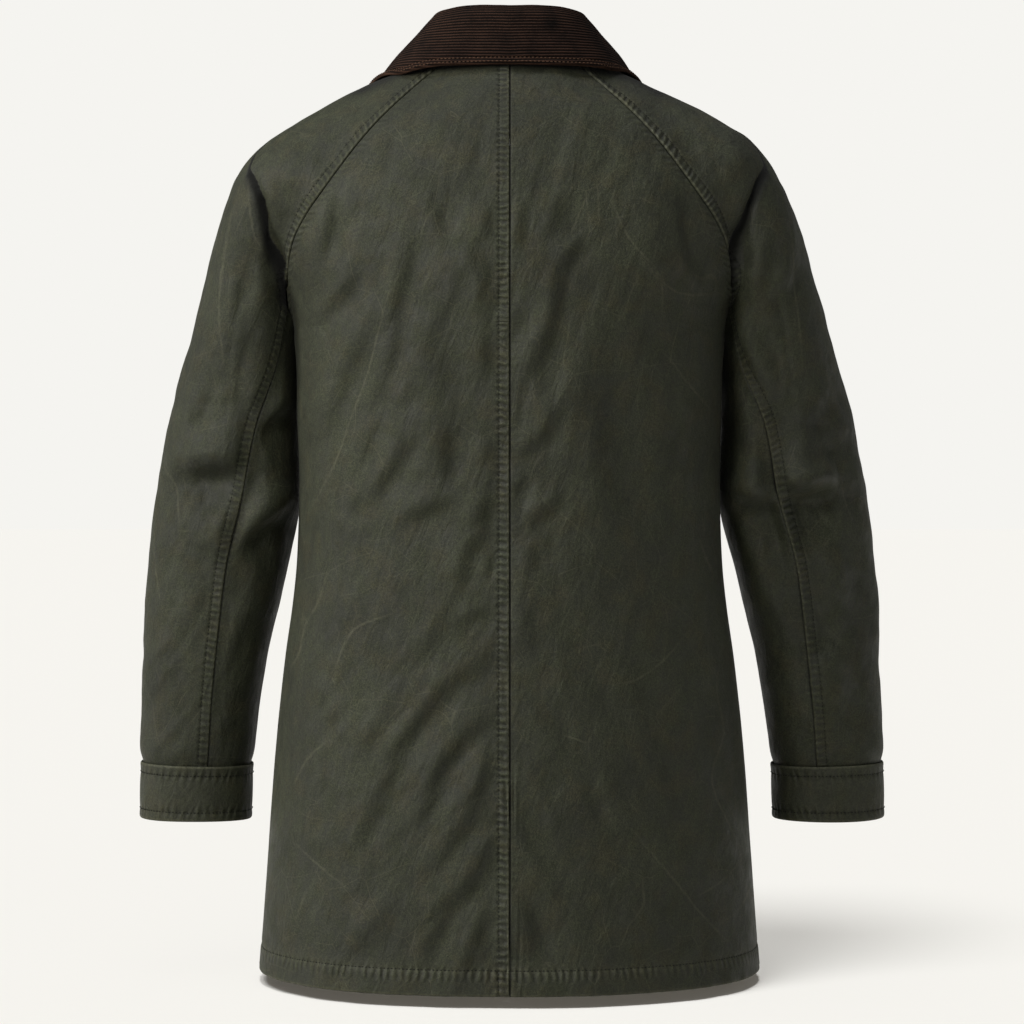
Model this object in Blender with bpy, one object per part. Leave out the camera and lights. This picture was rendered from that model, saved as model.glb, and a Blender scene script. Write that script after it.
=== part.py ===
"""Waxed cotton jacket with raglan sleeves and a corduroy collar, filled out as if worn.

Sizes are in millimetres inside the functions and in metres in the scene. The wearer faces -Y, +X is the
wearer's left, and the origin is the middle of the neck opening, level with the centre-back neck seam.
Every panel is worked out on one hollow form, which is a torso and two arms joined smoothly, and is then
given a wall. A panel is worked out on the left, where x is positive, and the right one is its mirror image
apart from the arm's own sizes.
"""

import math

import bmesh
import bpy
import numpy as np

MM = 0.001
CLOTH = 1.3  # one layer of waxed cotton
SEAM_GAP = 0.15  # each panel stops this far from the seam line, so two panels are 0.3 apart
CORNER_GAP = 0.7  # and this far at the armhole's corners, where the cloth folds back on itself
UNDERARM_GAPS = (1.8, 0.5)  # and the under sleeve's first two rows stop this far short at each end
FELL_WIDTH = 10.0  # felled seams, two rows of stitches wide
FELL_RISE = 0.7  # the extra layers of a felled seam
HEM_WIDTH = 23.0
HEM_RISE = 0.8
ARM_CLEARANCE = 2.2  # between the sleeve and the body below the armhole
ARMHOLE_CLEARANCE = 0.3
SLOPE_STEP = 0.8
SECTION_POWER = 2.2  # squareness of a sleeve's section, 2 is an ellipse
DEGREE_ROUND = 1.05  # millimetres round the sleeve in one degree
FOLD_FADE = 30.0  # body folds die away this near the side seams
CREASE_FADE = 40.0
RAY_START = 2.0  # surfaces are sought from this far along each ray
FAR_OUT = 260.0  # a level outside the whole jacket, front or back
CLEARANCE_RUN = 14.0  # the sleeve comes clear of the body over this length

# Rows down each seam
RAGLAN_ROWS = 10
ARMHOLE_ROWS = 3
SIDE_ROWS = 13
SLEEVE_ROWS = 18
BACK_COLUMNS = 12
FRONT_COLUMNS = 8
OUTER_COLUMNS = 13
OUTER_CROWDING = 1.25  # closer columns towards the back, where the larger folds are
SEAM_EASE = 120.0  # the sleeve seams swing from the armhole's corners to their own line over this length
INNER_EXTRA_DROP = 26.0  # a sleeve's inner side hangs this much lower than its outer line
TOP_SHARE = 0.3  # how far the rows over the shoulder are centred towards its top

# The body's level sections. drop is the distance below the centre-back neck seam.
TORSO_COLUMNS = ("drop", "half_width", "back_depth", "front_depth", "squareness")
TORSO = np.array(
    [
        (-16, 58, 55, 46, 2.0),
        (-9, 70, 58, 50, 2.0),
        (0, 88, 62, 56, 2.0),
        (14, 108, 73, 64, 2.0),
        (29, 135, 84, 72, 2.0),
        (47, 170, 95, 80, 2.05),
        (66, 203, 104, 88, 2.1),
        (85, 226, 110, 96, 2.1),
        (105, 239, 115, 104, 2.15),
        (131, 241, 120, 112, 2.25),
        (161, 234, 124, 121, 2.3),
        (190, 219, 127, 127, 2.35),
        (222, 204, 128, 132, 2.35),
        (250, 199, 128, 134, 2.35),
        (300, 197, 127, 135, 2.35),
        (400, 195, 126, 133, 2.3),
        (475, 198, 129, 134, 2.3),
        (550, 208, 134, 137, 2.25),
        (625, 216, 139, 141, 2.2),
        (735, 224, 145, 146, 2.2),
        (834, 231, 150, 150, 2.2),
    ]
)

# Arm sections, square to the outer line of the sleeve from the neck over the shoulder to the wrist.
ARM_COLUMNS = ("drop", "outer_left", "outer_right", "half_width", "half_depth", "centre_y")
ARM = np.array(
    [
        (-9, 71, 71, 60, 58, 0),
        (14, 124, 124, 64, 72, 0),
        (46, 186, 186, 62, 82, -1),
        (66, 218, 217, 57, 86, -2),
        (85, 240, 238, 50, 86, -4),
        (104, 253, 250, 44, 85, -6),
        (141, 267, 266, 39, 83, -10),
        (196, 283, 284, 44, 79, -17),
        (250, 299, 301, 51, 76, -24),
        (308, 315, 319, 59, 71, -30),
        (401, 334, 337, 67, 65, -34),
        (475, 342, 346, 64, 61, -36),
        (550, 346, 350, 58, 57, -39),
        (620, 348, 353, 54, 51, -42),
        (640, 348.5, 353.5, 53.3, 50, -43),
        (660, 349, 354, 53, 49.5, -43.8),
        (705, 350, 355, 53, 49.5, -44.2),
    ]
)

# How softly the arm runs into the body at each height.
BLEND_COLUMNS = ("drop", "width")
BLEND = np.array([(-16, 4), (50, 5), (105, 9), (150, 12), (190, 12), (208, 9), (224, 6), (300, 2)])

# The raglan seams, from the neck to the armhole's corner, seen square to the back or the front.
RAGLAN_COLUMNS = ("across", "drop")
BACK_RAGLAN = np.array(
    [
        (71, 12),
        (103, 44),
        (126, 70),
        (143, 91.5),
        (160, 115),
        (177, 138),
        (191, 159),
        (197.5, 176),
        (200.5, 188),
    ]
)
FRONT_RAGLAN = np.array(
    [(92, 58), (116, 82), (137, 104), (155, 126), (171, 147), (183, 166), (189.5, 180), (194, 194)]
)
RAGLAN_NECK_ANGLE = {"back": 52.0, "front": 128.0}  # degrees round the neck from the centre back

# The neck seam, by the angle round the neck from the centre back.
NECK_COLUMNS = ("angle", "drop")
NECK = np.array([(0, 0), (30, -1), (52, -4), (90, -9), (110, 2), (128, 17), (150, 42), (180, 60)])

# Where each sleeve seam runs round the sleeve: degrees from its outer line, at each drop.
SEAM_COLUMNS = ("drop", "turn")
SLEEVE_SEAM = np.array(
    [
        (222, 146),
        (250, 134),
        (285, 124),
        (320, 114),
        (360, 109),
        (400, 107),
        (460, 104),
        (560, 106),
        (660, 108),
    ]
)

ARMHOLE_STATION_DROP = 196.0  # the arm section whose plane passes through the armhole's corners
ARMHOLE_DIP = 22.0  # the underarm point is this far below the corners
HEM_DROP = 834.0
SLEEVE_FULL_DROP = 638.0  # below this the sleeve narrows into its cuff
SLEEVE_END_DROP = 663.0
WRIST_NARROWING = 2.8  # the sleeve's fullness taken up by the cuff, on each side
WRIST_NARROWING_RUN = 8.0
CUFF_END_DROP = 704.0
CUFF_WALL = 2.2
CUFF_CLEARANCE = 0.6
CUFF_SIDES = 32
CUFF_RING_COLUMNS = ("drop", "lift")
CUFF_RINGS = ((652.0, 0.0), (655.0, 0.2), (680.0, 0.3), (704.0, 0.3))

# Folds. A row is a soft ridge, or a trough where the height is negative, from one end to the other.
BODY_FOLD_COLUMNS = ("across_1", "drop_1", "across_2", "drop_2", "half_width", "height")
BACK_FOLDS_LEFT = np.array(
    [
        (231, 108, 205, 190, 16, -7),
        (135, 235, 62, 420, 22, 4.5),
        (105, 250, 50, 400, 20, -3.5),
        (20, 350, 75, 560, 22, -3.5),
        (18, 600, 80, 770, 24, -4.0),
        (10, 680, 50, 810, 20, 3.5),
    ]
)
BACK_FOLDS_RIGHT = np.array(
    [
        (229, 108, 204, 190, 16, -7),
        (40, 230, 80, 350, 20, 3.5),
        (120, 360, 105, 500, 24, 3.5),
        (85, 420, 65, 620, 24, -3.5),
        (60, 600, 110, 800, 26, 3.5),
    ]
)
FRONT_FOLDS_LEFT = np.array(
    [
        (229, 112, 204, 190, 16, -6),
        (150, 230, 90, 400, 22, 3.5),
        (90, 480, 130, 720, 24, -3.5),
    ]
)
FRONT_FOLDS_RIGHT = np.array(
    [
        (228, 112, 204, 190, 16, -6),
        (140, 250, 80, 430, 22, 3.5),
        (75, 520, 105, 760, 24, -3.5),
    ]
)
SLEEVE_FOLD_COLUMNS = ("drop_1", "turn_1", "drop_2", "turn_2", "half_width", "height")
SLEEVE_FOLDS_LEFT = np.array(
    [
        (378, 15, 392, 110, 17, -7.0),
        (400, 90, 455, 158, 18, 6.0),
        (345, 55, 368, 110, 18, 4.0),
        (430, -100, 470, -20, 18, -5.0),
    ]
)
SLEEVE_FOLDS_RIGHT = np.array(
    [
        (280, 85, 345, 68, 18, 5.0),
        (395, 25, 408, 115, 17, -7.0),
        (420, 75, 480, 150, 18, 6.0),
        (440, -95, 480, -20, 18, -5.0),
    ]
)

# The collar, by the angle round the neck from the centre back.
COLLAR_COLUMNS = ("angle", "stand_height", "roll_out", "edge_out", "edge_drop", "bulge")
COLLAR = np.array(
    [
        (0, 43.0, 0.5, 13.0, 9.0, 1.5),
        (30, 43.0, 0.5, 16.0, 9.0, 1.5),
        (60, 37.0, 1.0, 30.0, 9.0, 2.0),
        (90, 25.0, 4.0, 44.0, 13.0, 2.5),
        (120, 22.0, 4.0, 43.0, 46.0, 2.0),
        (150, 20.0, 3.0, 34.0, 97.0, 1.0),
        (174, 18.0, 2.0, 24.0, 118.0, 1.5),
    ]
)
COLLAR_WALL = 2.0
COLLAR_CLEARANCE = 2.0
COLLAR_END_ANGLE = 174.0
COLLAR_COLUMNS_ROUND = 34
WALES = 20
WALE_RISE = 0.7
ROLL_RADIUS = 4.5

FLY_HALF_WIDTH = 30.0
FLY_WALL = 2.0
FLY_BASE_LIFT = 1.4  # above the fronts, clear of their hems
FLY_TOP_DROP = 66.0
FLY_ROWS = 16
FLY_SIDE_REACH = 6.0  # the collar is lifted over the fly and this much beside it
STUD_DROPS = (150.0, 275.0, 400.0, 525.0, 650.0, 770.0)
STUD_LIFT = 0.3
STUD_RADIUS = 7.5
STUD_HEIGHT = 2.6
STUD_SIDES = 16
STUD_PROFILE = ((0.0, 1.0), (0.45, 1.0), (0.8, 0.85), (1.0, 0.5))


def smooth_rows(keys, rows, at):
    """Every column of a table at the given keys, by a cubic through its rows."""
    rows = np.asarray(rows, float)
    at = np.clip(at, keys[0], keys[-1])
    slopes = np.gradient(rows, keys, axis=0)
    span = np.clip(np.searchsorted(keys, at, side="right") - 1, 0, len(keys) - 2)
    step = (keys[span + 1] - keys[span])[:, None]
    part = (at - keys[span])[:, None] / step
    square, cube = part**2, part**3
    return (
        (2 * cube - 3 * square + 1) * rows[span]
        + (cube - 2 * square + part) * step * slopes[span]
        + (3 * square - 2 * cube) * rows[span + 1]
        + (cube - square) * step * slopes[span + 1]
    )


def table_value(table, at, column=1):
    return smooth_rows(table[:, 0], table[:, [column]], np.atleast_1d(np.asarray(at, float)))[:, 0]


def running_length(points):
    steps = np.linalg.norm(np.diff(points, axis=0), axis=1)
    return np.concatenate([[0.0], np.cumsum(steps)])


def resample(points, distances):
    """Points at the given distances along a line of points."""
    length = running_length(points)
    return np.stack([np.interp(distances, length, points[:, axis]) for axis in range(3)], axis=1)


def spread(total, count, first, last, crowding=1.0):
    """Distances along a row: two close steps at each seam that has a felled band, even steps between."""
    head = [0.0, FELL_WIDTH, FELL_WIDTH + 1.5] if first else [0.0]
    tail = [total - FELL_WIDTH - 1.5, total - FELL_WIDTH, total] if last else [total]
    between = head[-1] + (tail[0] - head[-1]) * np.linspace(0, 1, count + 1)[1:-1] ** crowding
    return np.concatenate([head, between, tail])


def fold_height(folds, across, along):
    """The sum of the folds at each place, each tapered to both ends and bell-shaped across."""
    total = np.zeros_like(across)
    for start_x, start_y, end_x, end_y, half_width, height in folds:
        run = np.array([end_x - start_x, end_y - start_y])
        length = np.linalg.norm(run)
        part = ((across - start_x) * run[0] + (along - start_y) * run[1]) / length**2
        away = ((across - start_x) * run[1] - (along - start_y) * run[0]) / length
        taper = np.clip(1 - (2 * np.clip(part, 0, 1) - 1) ** 4, 0, 1)
        beyond = np.maximum(np.maximum(-part, part - 1), 0) * length
        total += height * taper * np.exp(-((away / half_width) ** 2) - (beyond / half_width) ** 2)
    return total


def torso_gap(points, side):
    """How far outside the body each point is, level with it. Points are on the left, whichever the side."""
    sizes = smooth_rows(TORSO[:, 0], TORSO[:, 1:], -points[:, 2])
    at_back = points[:, 1] > 0
    depth = np.where(at_back, sizes[:, 1], sizes[:, 2])
    power = sizes[:, 3]
    across = np.abs(points[:, 0])
    level = (across / sizes[:, 0]) ** power + (np.abs(points[:, 1]) / depth) ** power
    level = np.maximum(level, 1e-6) ** (1 / power)
    reach = np.hypot(points[:, 0], points[:, 1])
    back = BACK_FOLDS_LEFT if side > 0 else BACK_FOLDS_RIGHT
    front = FRONT_FOLDS_LEFT if side > 0 else FRONT_FOLDS_RIGHT
    drop = -points[:, 2]
    folds = np.where(at_back, fold_height(back[1:], across, drop), fold_height(front[1:], across, drop))
    edge = np.clip(np.abs(points[:, 1]) / FOLD_FADE, 0, 1)
    return reach * (1 - 1 / level) - folds * edge


def arm_of(side):
    """Stations down one arm: the centre, the direction down it and the direction out of it."""
    column = 1 if side > 0 else 2
    outer = np.stack([ARM[:, column], -ARM[:, 0]], axis=1)
    keys = running_length(outer)
    at = np.linspace(0, keys[-1], 220)
    line = smooth_rows(keys, np.column_stack([outer, ARM[:, 3:]]), at)
    down = np.gradient(line[:, :2], at, axis=0)
    down /= np.linalg.norm(down, axis=1)[:, None]
    out = np.stack([-down[:, 1], down[:, 0]], axis=1)
    centre = line[:, :2] - line[:, 2:3] * out
    steps = np.diff(centre, axis=0)
    forward = np.maximum((steps * down[1:]).sum(axis=1), 1e-3)
    return {
        "side": side,
        "outer": line[:, :2],
        "station": np.concatenate([[0.0], np.cumsum(forward)]),
        "down": down,
        "out": out,
        "centre": centre,
        "half_width": line[:, 2],
        "half_depth": line[:, 3],
        "centre_y": line[:, 4],
    }


def arm_values(arm, station):
    """The arm's sizes at the given stations."""
    known = arm["station"]

    def read(column):
        return np.interp(station, known, column)

    out = np.stack([read(arm["out"][:, 0]), read(arm["out"][:, 1])], axis=1)
    out /= np.linalg.norm(out, axis=1)[:, None]
    centre = np.stack([read(arm["centre"][:, 0]), read(arm["centre"][:, 1])], axis=1)
    return centre, out, read(arm["half_width"]), read(arm["half_depth"]), read(arm["centre_y"])


def arm_gap(points, arm):
    """How far outside the arm each point is, measured from the arm's centre line."""
    flat = points[:, [0, 2]]
    offset = flat[:, None, :] - arm["centre"][None, :, :]
    nearest = np.argmin((offset**2).sum(axis=2), axis=1)
    chosen = flat - arm["centre"][nearest]
    along = (chosen * arm["down"][nearest]).sum(axis=1)
    centre, out, half_width, half_depth, centre_y = arm_values(arm, arm["station"][nearest] + along)
    across = ((flat - centre) * out).sum(axis=1)
    fore = points[:, 1] - centre_y
    level = (np.abs(across) / half_width) ** SECTION_POWER + (np.abs(fore) / half_depth) ** SECTION_POWER
    level = np.maximum(level, 1e-6) ** (1 / SECTION_POWER)
    turn = np.degrees(np.arctan2(fore / half_depth, across / half_width))
    folds = SLEEVE_FOLDS_LEFT if arm["side"] > 0 else SLEEVE_FOLDS_RIGHT
    raised = fold_height(scaled_to_sleeve(folds), -centre[:, 1], turn * DEGREE_ROUND)
    narrowed = np.clip((-centre[:, 1] - SLEEVE_FULL_DROP) / WRIST_NARROWING_RUN, 0, 1) * WRIST_NARROWING
    return np.hypot(across, fore) * (1 - 1 / level) - raised + narrowed


def scaled_to_sleeve(folds):
    return folds * np.array([1, DEGREE_ROUND, 1, DEGREE_ROUND, 1, 1])


def form_gap(points, arm):
    """The body and the arm joined softly, with the deep fold where the sleeve meets the body."""
    side = arm["side"]
    body = torso_gap(points, side)
    limb = arm_gap(points, arm)
    width = table_value(BLEND, -points[:, 2])
    share = np.clip(0.5 + 0.5 * (limb - body) / width, 0, 1)
    joined = limb * (1 - share) + body * share - width * share * (1 - share)
    back = BACK_FOLDS_LEFT if side > 0 else BACK_FOLDS_RIGHT
    front = FRONT_FOLDS_LEFT if side > 0 else FRONT_FOLDS_RIGHT
    drop = -points[:, 2]
    crease = np.where(
        points[:, 1] > 0,
        fold_height(back[:1], points[:, 0], drop),
        fold_height(front[:1], points[:, 0], drop),
    )
    return joined - crease * np.clip(np.abs(points[:, 1]) / CREASE_FADE, 0, 1)


def panel_gap(points, arm):
    """The form, cut off a little outside the body, so that a body panel never runs into the arm."""
    bulge = table_value(BLEND, -points[:, 2]) / 4 + 0.3
    return np.maximum(form_gap(points, arm), torso_gap(points, arm["side"]) - bulge)


def sleeve_gap(points, arm, clearance):
    """The sleeve below the armhole, kept clear of the body."""
    return np.maximum(arm_gap(points, arm), clearance - torso_gap(points, arm["side"]))


def first_crossing(starts, directions, gap, reach, samples=90):
    """Where rays first pass through the surface on which the gap is nought."""
    starts = np.asarray(starts, float)
    count = len(starts)
    distances = np.linspace(RAY_START, reach, samples)
    every = starts[:, None, :] + distances[None, :, None] * directions[:, None, :]
    values = gap(every.reshape(-1, 3)).reshape(count, samples)
    change = (values[:, :-1] < 0) != (values[:, 1:] < 0)
    index = np.argmax(change, axis=1)
    index = np.where(change.any(axis=1), index, samples - 2)
    low, high = distances[index], distances[index + 1]
    began = values[np.arange(count), index] < 0
    for _ in range(16):
        middle = (low + high) / 2
        same = (gap(starts + middle[:, None] * directions) < 0) == began
        low = np.where(same, middle, low)
        high = np.where(same, high, middle)
    return starts + ((low + high) / 2)[:, None] * directions


def neck_line(arm, angles):
    """The neck seam on the form, by the angle round the neck from the centre back."""
    heights = -table_value(NECK, angles)
    turn = np.radians(angles)
    starts = np.stack([np.zeros_like(heights), np.zeros_like(heights), heights], axis=1)
    directions = np.stack([np.sin(turn), np.cos(turn), np.zeros_like(heights)], axis=1)
    return first_crossing(starts, directions, lambda p: form_gap(p, arm), 200)


def station_at_drop(arm, drop):
    """The station of the arm section whose outer point is at the given drop."""
    return np.interp(drop, -arm["outer"][:, 1], arm["station"])


def sleeve_ring(arm, station, turns, clearance):
    """Points round the sleeve at one station, at the given degrees from the outer line."""
    centre, out, _, _, centre_y = arm_values(arm, np.array([station]))
    turns = np.radians(turns)
    directions = np.stack([np.cos(turns) * out[0, 0], np.sin(turns), np.cos(turns) * out[0, 1]], axis=1)
    start = np.array([centre[0, 0], centre_y[0], centre[0, 1]])
    starts = np.repeat(start[None, :], len(turns), axis=0)
    return first_crossing(starts, directions, lambda p: sleeve_gap(p, arm, clearance), 130)


def armhole_corner(arm, facing):
    """The armhole's corner, where the sleeve's section meets the body: its station, turn and point."""
    station = station_at_drop(arm, ARMHOLE_STATION_DROP)
    turns = facing * np.linspace(100, 178, 157)
    ring = sleeve_ring(arm, station, turns, -60.0)
    outside = torso_gap(ring, arm["side"]) - ARMHOLE_CLEARANCE
    place = np.argmax(outside < 0)
    corner = ring[place : place + 1]
    for _ in range(6):
        slope = slope_of(corner, lambda p: form_gap(p, arm))
        corner = corner - slope * (form_gap(corner, arm) / np.maximum((slope**2).sum(axis=1), 0.04))[:, None]
    return station, turns[place], corner[0]


def raglan_line(arm, facing, corner):
    """The raglan seam from the neck to the armhole's corner, one point to each row."""
    table = BACK_RAGLAN if facing > 0 else FRONT_RAGLAN
    starts = np.column_stack([table[:, 0], np.full(len(table), FAR_OUT * facing), -table[:, 1]])
    directions = np.repeat([[0.0, -facing, 0.0]], len(table), axis=0)
    found = first_crossing(starts, directions, lambda p: form_gap(p, arm), 300, 200)
    neck = neck_line(arm, np.array([RAGLAN_NECK_ANGLE["back" if facing > 0 else "front"]]))
    line = np.vstack([neck, found, corner[None, :]])
    length = running_length(line)
    line = smooth_rows(length, line, np.linspace(0, length[-1], RAGLAN_ROWS + 1))
    inner = line[1:-1] + np.array([0.0, 20.0 * facing, 0.0])
    directions = np.repeat([[0.0, -facing, 0.0]], len(inner), axis=0)
    line[1:-1] = first_crossing(inner, directions, lambda p: form_gap(p, arm), 40)
    return line


def armhole_line(arm, back_corner, front_corner):
    """The bottom of the armhole, from the back corner under the arm to the front corner."""
    part = np.linspace(0, 1, 2 * ARMHOLE_ROWS + 1)
    y = back_corner[1] + (front_corner[1] - back_corner[1]) * part
    z = back_corner[2] + (front_corner[2] - back_corner[2]) * part - ARMHOLE_DIP * 4 * part * (1 - part)
    starts = np.column_stack([np.full(len(part), 60.0), y, z])
    directions = np.repeat([[1.0, 0.0, 0.0]], len(part), axis=0)
    line = first_crossing(starts, directions, lambda p: torso_gap(p, arm["side"]), 220)
    line[0] = back_corner
    line[-1] = front_corner
    return line


def side_line(arm, underarm):
    """The side seam from the underarm point to the hem."""
    drops = np.linspace(-underarm[2], HEM_DROP - HEM_WIDTH - 1.5, SIDE_ROWS - 1)
    drops = np.concatenate([drops, [HEM_DROP - HEM_WIDTH, HEM_DROP]])
    fade = np.linspace(1, 0, 7)
    y = np.zeros(len(drops))
    y[:7] = underarm[1] * fade
    y[:] += 0.001
    starts = np.column_stack([np.full(len(drops), 60.0), y, -drops])
    directions = np.repeat([[1.0, 0.0, 0.0]], len(drops), axis=0)
    line = first_crossing(starts, directions, lambda p: torso_gap(p, arm["side"]), 220)
    line[0] = underarm
    return line


def sleeve_lines(arm, facing, station, turn, corner):
    """A sleeve seam from the armhole's corner to the wrist: its stations, turns and points."""
    full = station_at_drop(arm, SLEEVE_FULL_DROP)
    last = station_at_drop(arm, np.array([SLEEVE_FULL_DROP + 8, SLEEVE_END_DROP]))
    stations = np.concatenate([np.linspace(station, full, SLEEVE_ROWS - 1), last])
    drops = np.interp(stations, arm["station"], -arm["outer"][:, 1]) + INNER_EXTRA_DROP
    turns = facing * table_value(SLEEVE_SEAM, drops)
    turns = turns + (turn - turns[0]) * np.clip(1 - (stations - station) / SEAM_EASE, 0, 1) ** 2
    points = [
        sleeve_ring(arm, one_station, np.array([one_turn]), clearance_at(arm, one_station, station))[0]
        for one_station, one_turn in zip(stations, turns)
    ]
    points[0] = corner
    return stations, turns, np.array(points)


def clearance_at(arm, station, armhole_station):
    part = np.clip((station - armhole_station) / CLEARANCE_RUN, 0, 1)
    return ARMHOLE_CLEARANCE + (ARM_CLEARANCE - ARMHOLE_CLEARANCE) * part


def body_rows(arm, seam, facing, columns):
    """Rows from the centre line to the seams, each resampled evenly between its bands."""
    side = arm["side"]
    neck_angle = RAGLAN_NECK_ANGLE["back" if facing > 0 else "front"]
    middle_angle = 0.0 if facing > 0 else 180.0
    angles = np.linspace(middle_angle, neck_angle, 40)
    top = neck_line(arm, angles)
    top[-1] = seam[0]
    rows = [resample(top, spread(running_length(top)[-1], columns, True, True))]
    middle_drop = -top[0, 2]
    reach_down = (-seam[:, 2] - -seam[0, 2]) / (HEM_DROP - -seam[0, 2])
    for index in range(1, len(seam)):
        end = seam[index]
        middle = middle_drop + (HEM_DROP - middle_drop) * reach_down[index]
        middle = middle + (-end[2] - middle) * min(1.0, reach_down[index] * 2.5)
        part = np.linspace(0, 1, 60)
        heights = -middle + (end[2] + middle) * part**2
        end_turn = math.atan2(end[0], end[1] * facing)
        turns = end_turn * part
        starts = np.column_stack([np.zeros(60), np.zeros(60), heights])
        directions = np.column_stack([np.sin(turns), facing * np.cos(turns), np.zeros(60)])
        if index <= RAGLAN_ROWS:
            row = first_crossing(starts, directions, lambda p: panel_gap(p, arm), 300)
        else:
            row = first_crossing(starts, directions, lambda p: torso_gap(p, side), 300)
        row[-1] = end
        rows.append(resample(row, spread(running_length(row)[-1], columns, True, True)))
    return np.array(rows)


def outer_sleeve_rows(arm, back_seam, front_seam, back_sleeve, front_sleeve):
    """Rows over the shoulder and then round the outer half of the sleeve."""
    neck = neck_line(arm, np.linspace(RAGLAN_NECK_ANGLE["back"], RAGLAN_NECK_ANGLE["front"], 40))
    neck[0], neck[-1] = back_seam[0], front_seam[0]
    rows = [resample(neck, spread(running_length(neck)[-1], OUTER_COLUMNS, True, True, OUTER_CROWDING))]
    last = back_sleeve[0][0]
    for index in range(1, RAGLAN_ROWS):
        part = index / RAGLAN_ROWS
        station = last * part
        outer = np.array([np.interp(station, arm["station"], arm["outer"][:, axis]) for axis in range(2)])
        top = np.array([outer[0], arm_values(arm, np.array([station]))[4][0], outer[1]])
        start_point, end_point = back_seam[index], front_seam[index]
        middle = (start_point + end_point) / 2
        middle = middle + (top - middle) * TOP_SHARE * part**2
        upward = top - middle
        upward /= np.linalg.norm(upward)
        sideways = start_point - end_point
        sideways = sideways - upward * (sideways @ upward)
        sideways /= np.linalg.norm(sideways)
        begin = math.atan2((start_point - middle) @ sideways, (start_point - middle) @ upward)
        finish = math.atan2((end_point - middle) @ sideways, (end_point - middle) @ upward)
        turns = np.linspace(begin, finish, 110)
        directions = np.cos(turns)[:, None] * upward + np.sin(turns)[:, None] * sideways
        starts = np.repeat(middle[None, :], len(turns), axis=0)
        row = first_crossing(starts, directions, lambda p: form_gap(p, arm), 200, 120)
        row[0], row[-1] = start_point, end_point
        rows.append(resample(row, spread(running_length(row)[-1], OUTER_COLUMNS, True, True, OUTER_CROWDING)))
    for index in range(SLEEVE_ROWS + 1):
        station = back_sleeve[0][index]
        turns = np.linspace(back_sleeve[1][index], front_sleeve[1][index], 80)
        row = sleeve_ring(arm, station, turns, clearance_at(arm, station, last))
        row[0], row[-1] = back_sleeve[2][index], front_sleeve[2][index]
        rows.append(resample(row, spread(running_length(row)[-1], OUTER_COLUMNS, True, True, OUTER_CROWDING)))
    return np.array(rows)


def under_sleeve_rows(arm, armhole, back_sleeve, front_sleeve):
    """Rows round the inner half of the sleeve, from the bottom of the armhole to the wrist."""
    rows = [armhole]
    columns = len(armhole)
    first = back_sleeve[0][0]
    dip = np.sin(np.linspace(0, math.pi, columns)) * ARMHOLE_DIP
    for index in range(1, SLEEVE_ROWS + 1):
        station = back_sleeve[0][index]
        low, high = back_sleeve[1][index], front_sleeve[1][index] + 360.0
        turns = np.linspace(low, high, columns)
        left = 1 - (station - first) / (back_sleeve[0][-1] - first)
        row = []
        for column in range(columns):
            place = station + dip[column] * left
            clearance = clearance_at(arm, place, first)
            row.append(sleeve_ring(arm, place, turns[column : column + 1], clearance)[0])
        row[0], row[-1] = back_sleeve[2][index], front_sleeve[2][index]
        rows.append(np.array(row))
    return np.array(rows)


def slope_of(points, gap):
    """The direction and steepness in which the gap grows, at each point."""
    flat = points.reshape(-1, 3)
    slope = np.zeros_like(flat)
    for axis in range(3):
        step = np.zeros(3)
        step[axis] = SLOPE_STEP
        slope[:, axis] = (gap(flat + step) - gap(flat - step)) / (2 * SLOPE_STEP)
    return slope.reshape(points.shape)


def normals_of(grid, gap):
    """Unit normals of a grid of points, out of the form whose gap is given."""
    slope = slope_of(grid, gap)
    return slope / np.maximum(np.linalg.norm(slope, axis=2), 1e-9)[:, :, None]


def grid_normals(grid, outward):
    """Unit normals of a grid of points by itself, turned to the side of the outward directions."""
    normal = np.cross(np.gradient(grid, axis=0), np.gradient(grid, axis=1))
    normal /= np.maximum(np.linalg.norm(normal, axis=2), 1e-9)[:, :, None]
    return normal * np.sign((normal * outward).sum())


def pulled_in(grid, gap):
    """The grid with each of its four borders moved in by the gap, which is one size or one to each row."""
    gap = np.broadcast_to(gap, len(grid))
    result = grid.copy()
    for near, far in ((0, 1), (-1, -2)):
        run = grid[far] - grid[near]
        result[near] = grid[near] + run * (SEAM_GAP / np.linalg.norm(run, axis=1))[:, None]
    columns = result.copy()
    for near, far in ((0, 1), (-1, -2)):
        run = columns[:, far] - columns[:, near]
        result[:, near] = columns[:, near] + run * (gap / np.linalg.norm(run, axis=1))[:, None]
    return result


def wall_mesh(name, outer, inner, material, closed=False):
    """A solid between two grids of the same size. A closed one joins its last column to its first."""
    rows, columns = outer.shape[:2]
    points = np.concatenate([outer.reshape(-1, 3), inner.reshape(-1, 3)]) * MM
    below = rows * columns
    faces = []
    spans = columns if closed else columns - 1
    for row in range(rows - 1):
        for column in range(spans):
            after = (column + 1) % columns
            a, b = row * columns + column, row * columns + after
            c, d = (row + 1) * columns + after, (row + 1) * columns + column
            if np.linalg.norm(points[a] - points[c]) < np.linalg.norm(points[b] - points[d]):
                halves = ((a, b, c), (a, c, d))
            else:
                halves = ((a, b, d), (b, c, d))
            for one, two, three in halves:
                faces.append((one, two, three))
                faces.append((three + below, two + below, one + below))
    for row in (0, rows - 1):
        for column in range(spans):
            a, b = row * columns + column, row * columns + (column + 1) % columns
            faces.append((b, a, a + below, b + below))
    if not closed:
        for column in (0, columns - 1):
            for row in range(rows - 1):
                a, b = row * columns + column, (row + 1) * columns + column
                faces.append((b, a, a + below, b + below))
    return linked_mesh(name, points, faces, material)


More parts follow.
